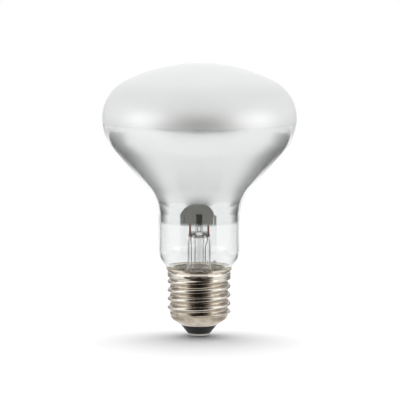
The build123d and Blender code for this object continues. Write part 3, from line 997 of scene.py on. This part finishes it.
# %% [markdown]
# ## Contact
# The contact is a brass plate, tinned and stamped with a rounded edge and a slight crown, with an
# eyelet that passes up through the black glass. A disc and a tube could be two meshes, but a seam would
# show between them, so both are turned as one outline.

# %% Contact
contact_low, contact_high = reach("centre_contact")
PLATE_RADIUS = contact_high[0]
PLATE_ROUND = 0.45
PLATE_CROWN = 0.12
PLATE_FLAT = 0.6
PLATE_PLAY = 0.01
EYELET_BORE = 1.2
EYELET_BREAK = 0.15
edge_level = contact_low[2] + PLATE_CROWN + PLATE_ROUND


def tinned_plate(name):
    """Tinned brass: bright grey silver with fine rubbed scratches and duller cloudy spots."""
    material, tree, place = new_finish(name)
    clouds = add_node(tree, "TexNoise", {"Vector": place, "Scale": grain(1.6), "Detail": 4.0}).outputs[0]
    along = add_node(tree, "Mapping", {"Vector": place, "Scale": (1.0, 9.0, 1.0)}).outputs[0]
    rubs = add_node(tree, "TexNoise", {"Vector": along, "Scale": grain(1.2), "Detail": 2.0}).outputs[0]
    fine = add_node(tree, "Bump", {"Height": rubs, "Strength": 0.2, "Distance": 0.02 * MM}).outputs[0]
    skin = two_tones(tree, clouds, "94918B", "ADAAA4", (0.32, 0.18))
    skin.update({"Metallic": 1.0, "Normal": fine})
    metal = add_node(tree, "BsdfPrincipled", skin)
    add_node(tree, "OutputMaterial", {"Surface": metal.outputs[0]})
    return material


plate = outline(
    (EYELET_BORE, contact_low[2] + EYELET_BREAK),
    (EYELET_BORE + EYELET_BREAK, contact_low[2]),
    (PLATE_RADIUS * PLATE_FLAT, contact_low[2]),
    arc((PLATE_RADIUS - PLATE_ROUND, edge_level), PLATE_ROUND, -70, 0, 9.0),
    (PLATE_RADIUS, foot_level - PLATE_PLAY),
    (EYELET_RADIUS, foot_level - PLATE_PLAY),
    (EYELET_RADIUS, contact_high[2]),
    (EYELET_BORE, contact_high[2]),
    step=0.3,
)
tinned = tinned_plate("tinned_stamped_brass")
plate_skin = closed_skin(turned(plate), loop=True)
add_piece("centre_contact", [plate_skin], [tinned], "plated_brass", "centre_contact")

# %% [markdown]
# ## Solder
# The leads are soldered to the cap in two places: in the eyelet of the contact, and in a bead over the
# rim on the far side. Solder freezes in a rounded lump with a dull, cratered skin. A fluid simulation
# could pour it, but a lump is simply a function of two angles: a ball whose radius is stirred by a few
# slow waves.

# %% Solder finish and lumps
def soft_solder(name):
    """Soft solder: dull grey silver, wrinkled where it froze, with tiny craters."""
    material, tree, place = new_finish(name)
    craters = add_node(tree, "TexVoronoi", {"Vector": place, "Scale": grain(0.5)}).outputs[0]
    clouds = add_node(tree, "TexNoise", {"Vector": place, "Scale": grain(0.8), "Detail": 4.0}).outputs[0]
    frozen = add_node(tree, "Bump", {"Height": craters, "Strength": 0.25, "Distance": 0.05 * MM}).outputs[0]
    skin = two_tones(tree, clouds, "9B9B9C", "C4C4C3", (0.25, 0.5))
    skin.update({"Metallic": 1.0, "Normal": frozen})
    metal = add_node(tree, "BsdfPrincipled", skin)
    add_node(tree, "OutputMaterial", {"Surface": metal.outputs[0]})
    return material


def lump(centre, radii, ripple, rows=33, columns=64):
    """Grid of a frozen drop: a ball with three radii, stirred by waves of a few turns in both angles."""
    down = np.linspace(0, pi, rows)[:, None]
    around = np.linspace(0, 2 * pi, columns, endpoint=False)[None, :]
    stir = 1 + ripple * np.sin(down) * (np.sin(3 * around + 2 * down) + np.cos(2 * around - 3 * down))
    level = np.cos(down) + 0 * around
    ball = np.stack([np.sin(down) * np.cos(around), np.sin(down) * np.sin(around), level], axis=-1)
    return np.array(centre) + np.array(radii) * ball * stir[..., None]


def clear_of_glass(grid, gap):
    """Moves points that would lie inside the neck's glass out to its outer face and a gap."""
    line = bulb_outline(0)[::-1]
    glass = np.interp(grid[..., 2], line[:, 1], line[:, 0]) + gap
    radius = np.hypot(grid[..., 0], grid[..., 1])
    grow = np.maximum(radius, glass) / radius
    return grid * np.stack([grow, grow, np.ones_like(grow)], axis=-1)


dull_solder = soft_solder("frozen_soft_solder")
print("finish", dull_solder.name)

# %% [markdown]
# The bead lies over the collar's rim and against the glass, so the points that would sink into the
# glass are pushed out of it. A Boolean cut would do the same, with a less even mesh. The drop in the
# eyelet needs no push: it just fits the bore.

# %% Build the solder
tip_high = reach("tip_solder")[1]
BEAD_ANGLE = radians(60.0)
BEAD_DROP = 0.1
BEAD_RADII = (1.1, 1.1, 1.0)
BEAD_RIPPLE = 0.06
BEAD_GAP = 0.02
DROP_RADIUS = 1.17
bead_centre = (COLLAR_RADIUS * cos(BEAD_ANGLE), COLLAR_RADIUS * sin(BEAD_ANGLE), rim_level - BEAD_DROP)
bead = clear_of_glass(lump(bead_centre, BEAD_RADII, BEAD_RIPPLE), BEAD_GAP)
add_piece("side_solder", [closed_skin(bead)], [dull_solder], "solder", "side_solder")
drop_half = tip_high[2] / 2
drop = lump((0, 0, drop_half), (DROP_RADIUS, DROP_RADIUS, drop_half), 0.0)
add_piece("tip_solder", [closed_skin(drop)], [dull_solder], "solder", "tip_solder")

# %% [markdown]
# ## Cement
# A brown cement of marble flour and resin is baked between the glass and the collar. It swells as it
# sets, so its top is uneven. Through the glass it shows mottled, with paler streaks where it was
# smeared upward. A noise displacement could roughen the top, but two slow waves round the axis are
# closer to what the oven does.

# %% Cement finish
def baked_cement(name):
    """Baked cap cement: a dull olive brown with darker flecks and pale upright smears."""
    material, tree, place = new_finish(name)
    upright = add_node(tree, "Mapping", {"Vector": place, "Scale": (1.0, 1.0, 0.12)})
    smears = add_node(tree, "TexNoise", {"Vector": upright.outputs[0], "Scale": grain(1.8), "Detail": 3.0})
    streaks = add_node(tree, "MapRange", {"Value": smears.outputs[0], "From Min": 0.42, "From Max": 0.68})
    flecks = add_node(tree, "TexNoise", {"Vector": place, "Scale": grain(0.6), "Detail": 4.0}).outputs[0]
    brown = add_node(tree, "Mix", {0: flecks, 6: tint("CDBB92"), 7: tint("EBDDB8")}, data_type="RGBA")
    smeared = {0: streaks.outputs[0], 6: brown.outputs[2], 7: tint("F8F2E2")}
    colour = add_node(tree, "Mix", smeared, data_type="RGBA")
    crumbs = add_node(tree, "Bump", {"Height": flecks, "Strength": 0.5, "Distance": 0.1 * MM})
    skin = {"Base Color": colour.outputs[2], "Roughness": 0.85, "Normal": crumbs.outputs[0]}
    dull = add_node(tree, "BsdfPrincipled", skin)
    add_node(tree, "OutputMaterial", {"Surface": dull.outputs[0]})
    return material


brown_cement = baked_cement("baked_cap_cement")
print("finish", brown_cement.name)

# %% [markdown]
# The ring lies between two pieces that are already there. Its inner side follows the bulb's outline. Its
# outer side goes up at the inside of the groove, the narrowest place of the collar, and opens with the
# rim. It could have sizes of its own, but then a changed neck or collar would cut into it.

# %% Build the cement
cement_low, cement_high = reach("cap_cement")
CEMENT_PLAY = 0.02
CEMENT_ROWS = 14
SINK = 0.16
WAVES = ((0.1, 5, 0.0), (0.06, 13, 1.0))


def cement_ring():
    """Grid of the cement: a turned ring whose top rises and sinks slowly round the axis."""
    around = np.linspace(0, 2 * pi, TURN_STEPS, endpoint=False)
    glass = bulb_outline(0)[::-1]
    levels = np.linspace(cement_low[2] + CEMENT_PLAY, cement_high[2], CEMENT_ROWS)
    inner = np.stack([np.interp(levels, glass[:, 1], glass[:, 0]) + CEMENT_PLAY, levels], axis=1)
    bore = COLLAR_RADIUS - SHELL_WALL - GROOVE - CEMENT_PLAY
    lip = np.clip((levels - lip_level) / (RIM_HEIGHT - RIM_UPRIGHT), 0, 1) * (GROOVE + RIM_FLARE)
    outer = np.stack([bore + lip, levels], axis=1)
    grid = turned(np.concatenate([inner, outer[::-1]]))
    sunk = SINK + sum(swing * np.sin(count * around + shift) for swing, count, shift in WAVES)
    share = ((grid[..., 2] - cement_low[2]) / (cement_high[2] - cement_low[2])) ** 2
    grid[..., 2] -= sunk * share
    return grid


add_piece("cap_cement", [closed_skin(cement_ring(), loop=True)], [brown_cement], "cement", "cap_cement")

# %% [markdown]
# ## Stem
# The stem is a glass tube. Its foot is flared out and melted to the neck. Its hot top is pressed flat
# round the two wires and the thin exhaust tube, and there the two tubes melt into one. It could be
# joined from tubes and a box by Booleans, but molten glass has no such edges. So its skin is a stack of
# level rings, each a rounded box that can be anything from an ellipse to nearly a rectangle.

# %% Rings of the stem
stem_low, stem_high = reach("stem")
tube_low, tube_high = reach("exhaust_tube")
STEM_STEPS = 180
STEM_RADIUS = 5.1
STEM_BORE = 4.2
STEM_HEIGHT = 17.5
TUBE_RADIUS = tube_high[0]
TUBE_WALL = 0.65
TUBE_BORE = TUBE_RADIUS - TUBE_WALL
TINY = 1e-9
stem_top = stem_low[2] + STEM_HEIGHT


def stacked(wide, deep, level, square):
    """Grid of level rings, each a rounded box with a half width, a half depth and a level.

    The power says how square a ring is: two gives an ellipse, and more makes it squarer.
    """
    around = np.linspace(0, 2 * pi, STEM_STEPS, endpoint=False)[None, :]
    wide, deep, level, square = (np.asarray(v, float)[:, None] for v in (wide, deep, level, square))
    stretch_x = (np.abs(np.cos(around)) / (wide + TINY)) ** square
    stretch_y = (np.abs(np.sin(around)) / (deep + TINY)) ** square
    radius = (stretch_x + stretch_y) ** (-1 / square)
    return np.stack([radius * np.cos(around), radius * np.sin(around), level + 0 * radius], axis=-1)


def round_rings(profile):
    """Round rings from an outline of (radius, height) points."""
    return stacked(profile[:, 0], profile[:, 0], profile[:, 1], 0 * profile[:, 0] + 2.0)


print("stem from", round(stem_low[2], 2), "to", round(stem_high[2], 2), "tube radius", round(TUBE_RADIUS, 2))

# %% [markdown]
# The pinch is the pressed top. Its rings start at the middle of its flat top, go over the rounded edge
# and down the sides, and turn from nearly a rectangle into the round tube, which is drawn in there like
# the shoulder of a bottle. In front the exhaust tube was blown open into the bulb, which left a dimple.
# A Boolean could cut a hole there, but a bell curve has the soft edge of a blown one.

# %% Pinch
PINCH_HALF = (4.25, 2.65)
PINCH_DROP = 2.4
PINCH_ROUND = 0.5
PINCH_SQUARE = 5.0
STEM_NARROW = 0.48
STEM_SHOULDER = 4.0
TOP_RINGS = 8
EDGE_RINGS = 7
SIDE_RINGS = 30
CLOSING_RINGS = 14
BLOW_DROP = 3.4
BLOW_DEPTH = 1.0
BLOW_WIDTH = 0.65
pinch_level = stem_top + PINCH_DROP


def pinch_rings():
    """Rings from the middle of the pinch's top, over its rounded edge and down to the round tube."""
    inward = np.linspace(0, 1, TOP_RINGS, endpoint=False)
    bend = np.radians(np.linspace(90, 0, EDGE_RINGS))
    inset = PINCH_ROUND * (1 - np.cos(bend))
    sides = np.linspace(stem_high[2] - PINCH_ROUND, pinch_level, SIDE_RINGS)[1:]
    closing = np.linspace(0, 1, CLOSING_RINGS)[1:]
    ease = smooth(closing)
    tube_half = STEM_RADIUS - STEM_NARROW
    halves = []
    for half in PINCH_HALF:
        top = inward * (half - PINCH_ROUND)
        closed = half + (tube_half - half) * ease
        halves.append(np.concatenate([top, half - inset, 0 * sides + half, closed]))
    over_edge = stem_high[2] - PINCH_ROUND * (1 - np.sin(bend))
    down = pinch_level + (stem_top - pinch_level) * closing
    level = np.concatenate([0 * inward + stem_high[2], over_edge, sides, down])
    square = np.full(len(level), PINCH_SQUARE)
    square[-len(ease) :] += (2 - PINCH_SQUARE) * ease
    return stacked(*halves, level, square)


def dimpled(rings):
    """The rings with the blown hole's dimple: a bell curve pressed into the front."""
    away = rings[..., 0] ** 2 + (rings[..., 2] - (stem_high[2] - BLOW_DROP)) ** 2
    bell = BLOW_DEPTH * np.exp(-away / (2 * BLOW_WIDTH**2))
    rings[..., 1] += np.where(rings[..., 1] < 0, bell, 0)
    return rings


def narrowed(profile):
    """The outline drawn in smoothly below the pinch, like a bottle's shoulder, outside the exhaust tube."""
    height = smooth((profile[:, 1] - (stem_top - STEM_SHOULDER)) / STEM_SHOULDER)
    share = np.clip((profile[:, 0] - TUBE_RADIUS) / (STEM_BORE - TUBE_RADIUS), 0, 1)
    return np.stack([profile[:, 0] - STEM_NARROW * height * share, profile[:, 1]], axis=1)


pinch = dimpled(pinch_rings())
print("pinch rings", len(pinch))

# %% [markdown]
# From the pinch the skin goes down the round tube to the foot, up the bore, over the bore's roof and
# down the outside of the exhaust tube. The press leaves the roof higher at the sides than in front. A
# second skin lines the hollow of the exhaust tube. One closed skin is chosen for the rest, because
# glass inside glass would show a dark line wherever two skins touch.

# %% Build the stem
FOOT_BEND = 5.4
FOOT_WALL = 0.9
FOOT_PLAY = 0.02
PINCH_JOIN = 0.3
BORE_JOIN = 0.5
ROOF_DROP = 0.2
ROOF_SWING = 0.55
ROOF_BLEND = 4
TUBE_ROOF = 0.3
foot_axis = (STEM_RADIUS + FOOT_BEND, stem_low[2] + FOOT_WALL + FOOT_BEND)
foot_reach = stem_high[0] - FOOT_PLAY
roof_level = stem_top - ROOF_DROP
tube_tip = (0, tube_low[2] + TUBE_RADIUS)

tube_foot = outline(
    (STEM_RADIUS, stem_top - PINCH_JOIN),
    arc(foot_axis, FOOT_BEND, 180, 270, 6.0),
    (foot_reach, stem_low[2] + FOOT_WALL),
    (foot_reach, stem_low[2]),
    arc(foot_axis, FOOT_BEND + FOOT_WALL, 266, 180, 6.0),
    step=0.7,
)
bore_line = outline(
    (STEM_BORE, foot_axis[1] + BORE_JOIN),
    arc(((STEM_BORE + TUBE_RADIUS) / 2, roof_level), (STEM_BORE - TUBE_RADIUS) / 2, 0, 180, 12.0),
    arc(tube_tip, TUBE_RADIUS, 0, -90, 10.0),
    step=0.5,
)
hollow_line = outline(
    arc((0, tube_high[2] - TUBE_BORE - TUBE_ROOF), TUBE_BORE, 90, 0, 10.0),
    arc(tube_tip, TUBE_BORE, 0, -90, 10.0),
    step=0.7,
)
bore = round_rings(narrowed(bore_line))
near_roof = smooth((bore[..., 2] - (roof_level - ROOF_BLEND)) / ROOF_BLEND)
bore[..., 2] += near_roof * ROOF_SWING * (bore[..., 0] ** 2 - bore[..., 1] ** 2) / STEM_BORE**2
stem_skin = closed_skin(np.concatenate([pinch, round_rings(narrowed(tube_foot)), bore]))
hollow_skin = closed_skin(round_rings(hollow_line), void=True)
stem_glass = clear_glass("pressed_lead_glass", "FDFDFD")
add_piece("stem", [stem_skin, hollow_skin], [stem_glass], "clear_glass", "stem", "exhaust_tube")

# %% [markdown]
# The arbor is a glass rod melted to the top of the pinch. Its end is a button, which holds the support
# wires. A cylinder and a ball would meet in a crease, so the rod, its melted foot and the button are
# one outline.

# %% Arbor
arbor_low, arbor_high = reach("arbor")
ROD_RADIUS = 1.2
ROD_STEPS = 72
FILLET = (0.35, 0.6)
BUTTON_NECK = 0.4
ARBOR_PLAY = 0.02
BUTTON_RADIUS = arbor_high[0]
button_level = arbor_high[2] - BUTTON_RADIUS
rod_foot = arbor_low[2] + ARBOR_PLAY
rod = outline(
    arc((0, button_level), BUTTON_RADIUS, 90, -55, 6.0),
    (ROD_RADIUS, button_level - BUTTON_RADIUS - BUTTON_NECK),
    (ROD_RADIUS, arbor_low[2] + FILLET[1]),
    (ROD_RADIUS + FILLET[0], rod_foot),
    (0, rod_foot),
    step=0.6,
)
add_piece("arbor", [closed_skin(turned(rod, ROD_STEPS))], [stem_glass], "clear_glass", "arbor")

# %% [markdown]
# ## Wires
# A wire is a circle carried along a line. A Blender curve with a bevel does this as well, but would
# have to be made a mesh afterwards. The lines are straight runs with the corners rounded, as pliers
# leave them: points are set evenly along the runs, and each one is moved to the mean of its neighbours.
# At every point the circle needs a direction that doesn't run along the wire, and each wire is given
# one.

# %% Helpers for wires
WIRE_STEP = 0.1


def bent(points, blunt):
    """Line through corner points in millimetres, its corners rounded by averaging over twice a length."""
    points = np.array(points, float)
    first = points[0] + (points[0] - points[1]) / np.linalg.norm(points[0] - points[1]) * blunt
    last = points[-1] + (points[-1] - points[-2]) / np.linalg.norm(points[-1] - points[-2]) * blunt
    points = np.concatenate([first[None], points, last[None]])
    along = np.concatenate([[0], np.cumsum(np.linalg.norm(np.diff(points, axis=0), axis=1))])
    count = int(along[-1] / WIRE_STEP) + 1
    walk = np.linspace(0, along[-1], count)
    window = 2 * int(blunt / along[-1] * (count - 1)) + 1
    mean = np.ones(window) / window
    runs = [np.interp(walk, along, points[:, i]) for i in range(3)]
    return np.stack([np.convolve(run, mean, "valid") for run in runs], axis=1)


def frames(line, side):
    """Directions across a line and square to that at each of its points; across leans to the side given."""
    ahead = np.gradient(line, axis=0)
    ahead /= np.linalg.norm(ahead, axis=1, keepdims=True)
    across = side - np.sum(side * ahead, axis=1, keepdims=True) * ahead
    across /= np.linalg.norm(across, axis=1, keepdims=True)
    return across, np.cross(ahead, across)


def tube(line, radius, side, sides=12):
    """Grid of a round wire: a circle carried square along a line, with both ends closed to points."""
    across, third = frames(line, side)
    turn = np.linspace(0, 2 * pi, sides, endpoint=False)[None, :, None]
    grid = line[:, None] + radius * (np.cos(turn) * across[:, None] + np.sin(turn) * third[:, None])
    start, end = (np.repeat(line[i][None, None], sides, axis=1) for i in (0, -1))
    return np.concatenate([start, grid, end])


def drawn_wire(name, dark, light, roughness):
    """Drawn wire: one metal in two close tones, streaked lengthwise by the die.

    The streaks are drawn coarser than real ones, which are too fine to show.
    """
    material, tree, place = new_finish(name)
    streaks = add_node(tree, "Mapping", {"Vector": place, "Scale": (1.0, 1.0, 0.2)}).outputs[0]
    marks = add_node(tree, "TexNoise", {"Vector": streaks, "Scale": grain(0.25), "Detail": 3.0}).outputs[0]
    skin = two_tones(tree, marks, dark, light, roughness)
    skin["Metallic"] = 1.0
    metal = add_node(tree, "BsdfPrincipled", skin)
    add_node(tree, "OutputMaterial", {"Surface": metal.outputs[0]})
    return material


print("a point every", WIRE_STEP, "mm of wire")

# %% [markdown]
# Copper-clad wire expands as the glass does, so it is what passes through the pinch. It was glazed red
# brown when the glass was pressed. A straight wire could be a cylinder, but the same helper makes it
# with no extra code.

# %% Seal wires
ALONG_Y = np.array([0.0, 1.0, 0.0])
SEAL_BLUNT = 0.3
clad = drawn_wire("copper_clad_seal_wire", "7A3B26", "A45C3E", (0.3, 0.5))
for node in ("seal_wire_left", "seal_wire_right"):
    low, high = reach(node)
    middle_x = (low[0] + high[0]) / 2
    line = bent([(middle_x, 0, low[2]), (middle_x, 0, high[2])], SEAL_BLUNT)
    add_piece(node, [closed_skin(tube(line, (high[0] - low[0]) / 2, ALONG_Y))], [clad], "copper_wire", node)
right_low, right_high = reach("seal_wire_right")
seal_x = (right_low[0] + right_high[0]) / 2
join_level = right_low[2]

# %% [markdown]
# The leads below the pinch are plain copper, gone dull. Both bend aside under the pinch, clear of the
# exhaust tube, and go down inside the stem. One ends in the eyelet. The other passes under the neck's
# end and up beside the glass to the solder on the rim. A soft curve through a few points could be used,
# but hand-bent leads have straight runs, so their corners are given and then rounded.

# %% Outer leads
LEAD_RADIUS = 0.2
LEAD_BLUNT = 0.6
LEAD_PLAY = 0.05
LEAD_STRAIGHT = 1.0
LEAD_SHIFT = 3.4
INNER_LEAD = 3.2
CENTRE_TURN = (1.2, 4.2)
CENTRE_END = 0.4
SIDE_TURN = radians(-40)
SIDE_END = 0.3
ACROSS_RUN = np.array([0.966, -0.259, 0.0])
dull_copper = drawn_wire("drawn_copper_lead", "7B6A66", "A08C86", (0.3, 0.5))


def at_angle(radius, angle, level):
    """Point at a radius, an angle round the axis and a level."""
    return (radius * cos(angle), radius * sin(angle), level)


centre_line = bent(
    [
        (-seal_x, 0, join_level),
        (-seal_x, 0, join_level - LEAD_STRAIGHT),
        (-INNER_LEAD, 0, join_level - LEAD_SHIFT),
        (-INNER_LEAD, 0, tube_low[2] - CENTRE_TURN[0]),
        (0, 0, tube_low[2] - CENTRE_TURN[1]),
        (0, 0, CENTRE_END),
    ],
    LEAD_BLUNT,
)
turn_level = reach("outer_lead_side")[0][2] + LEAD_RADIUS
beside_glass = SEAL_RADIUS + LEAD_PLAY + LEAD_RADIUS
inside_rim = COLLAR_RADIUS - SHELL_WALL - LEAD_PLAY - LEAD_RADIUS
side_line = bent(
    [
        (seal_x, 0, join_level),
        (seal_x, 0, join_level - LEAD_STRAIGHT),
        at_angle(INNER_LEAD, SIDE_TURN, join_level - LEAD_SHIFT),
        at_angle(INNER_LEAD, SIDE_TURN, turn_level),
        at_angle(beside_glass, BEAD_ANGLE, turn_level),
        at_angle(beside_glass, BEAD_ANGLE, collar_level),
        at_angle(inside_rim, BEAD_ANGLE, rim_level - SIDE_END),
    ],
    LEAD_BLUNT,
)
for node, line, across in (
    ("outer_lead_centre", centre_line, ALONG_Y),
    ("outer_lead_side", side_line, ACROSS_RUN),
):
    lead = closed_skin(tube(line, LEAD_RADIUS, across))
    add_piece(node, [lead], [dull_copper], "copper_wire", node)

# %% [markdown]
# Above the pinch two stout nickel leads carry the filament, and three thin wires hook over it. They are
# hidden by the mirror, so they could be left plain, but their bends take only a few points each.

# %% Leads and supports
ring_low, ring_high = reach("filament")
COIL_OUTSIDE = 0.35
RING_DROP = 1.0
RING_RADIUS = ring_high[0] - COIL_OUTSIDE
RING_LEVEL = ring_high[2] - COIL_OUTSIDE
LEAD_WIRE_RADIUS = 0.3
LEAD_WIRE_BLUNT = 1.2
LEAD_WIRE_BENDS = (2.0, 13.0)
SUPPORT_ANGLES = (45.0, 90.0, 135.0)
SUPPORT_RADIUS = 0.12
SUPPORT_BLUNT = 0.2
SUPPORT_START = 1.3
SUPPORT_RISE = 5.0
HOOK_RADIUS = 0.52
HOOK_DROPS = (0.3, 0.4)
UP = np.array([0.0, 0.0, 1.0])
nickel = drawn_wire("drawn_nickel_wire", "8F8A84", "B9B4AC", (0.25, 0.45))

for side, side_name in SIDES:
    node = f"lead_wire_{side_name}"
    low, high = reach(node)
    corners = [
        (side * seal_x, 0, low[2]),
        (side * seal_x, 0, low[2] + LEAD_WIRE_BENDS[0]),
        (side * RING_RADIUS, -RING_DROP, low[2] + LEAD_WIRE_BENDS[1]),
        (side * RING_RADIUS, -RING_DROP, high[2]),
    ]
    wire = tube(bent(corners, LEAD_WIRE_BLUNT), LEAD_WIRE_RADIUS, ALONG_Y)
    add_piece(node, [closed_skin(wire)], [nickel], "nickel_wire", node)

inner = RING_RADIUS - HOOK_RADIUS
before, after = (RING_LEVEL - drop for drop in HOOK_DROPS)
rise = [(SUPPORT_START, button_level), (inner, button_level + SUPPORT_RISE), (inner, before)]
hook = arc((RING_RADIUS, RING_LEVEL), HOOK_RADIUS, 180, 0, 15.0)
hooked = np.concatenate([rise, hook, [(RING_RADIUS + HOOK_RADIUS, after)]])
for number, angle in enumerate(SUPPORT_ANGLES, start=1):
    node = f"support_wire_{number}"
    out = np.array(at_angle(1.0, radians(angle), 0.0))
    line = bent(hooked[:, :1] * out + hooked[:, 1:] * UP, SUPPORT_BLUNT)
    wire = tube(line, SUPPORT_RADIUS, np.cross(out, UP), sides=8)
    add_piece(node, [closed_skin(wire)], [nickel], "nickel_wire", node)

# %% [markdown]
# ## Filament
# The filament is a coil of tungsten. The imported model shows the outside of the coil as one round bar.
# Here the coil is a helix wound round the same half ring, and the wire is a circle carried along the
# helix. A spring bent by a Curve modifier would look alike, but its turns would stretch at the corners.

# %% Filament coil
COIL_WIRE = 0.06
COIL_PITCH = 0.26
COIL_STEPS = 20
COIL_BLUNT = 0.5
COIL_SHARP = 80
END_DROP = 0.3
RING_POINTS = 200
tungsten = drawn_wire("drawn_tungsten_wire", "3A3A3C", "5A5A5C", (0.35, 0.55))

half_turn = np.radians(np.linspace(180, 0, RING_POINTS))
level = 0 * half_turn + RING_LEVEL
ring = np.stack([RING_RADIUS * np.cos(half_turn), RING_RADIUS * np.sin(half_turn), level], axis=1)
ends = (RING_LEVEL - END_DROP, ring_low[2] + COIL_OUTSIDE)
right_end = np.array([(RING_RADIUS, -RING_DROP, end) for end in ends])
left_end = right_end[::-1] * [-1, 1, 1]
path = bent(np.concatenate([left_end, ring, right_end]), COIL_BLUNT)
length = np.concatenate([[0], np.cumsum(np.linalg.norm(np.diff(path, axis=0), axis=1))])
walk = np.linspace(0, length[-1], int(length[-1] / COIL_PITCH * COIL_STEPS))
middle = np.stack([np.interp(walk, length, path[:, i]) for i in range(3)], axis=1)
across, third = frames(middle, middle * [1, 1, 0])
phase = (2 * pi * walk / COIL_PITCH)[:, None]
outward = np.cos(phase) * across + np.sin(phase) * third
coil = middle + (COIL_OUTSIDE - COIL_WIRE) * outward
coil_skin = closed_skin(tube(coil, COIL_WIRE, outward, sides=6))
add_piece("filament", [coil_skin], [tungsten], "tungsten", "filament", sharp=COIL_SHARP)
print("turns of the coil", round(length[-1] / COIL_PITCH))
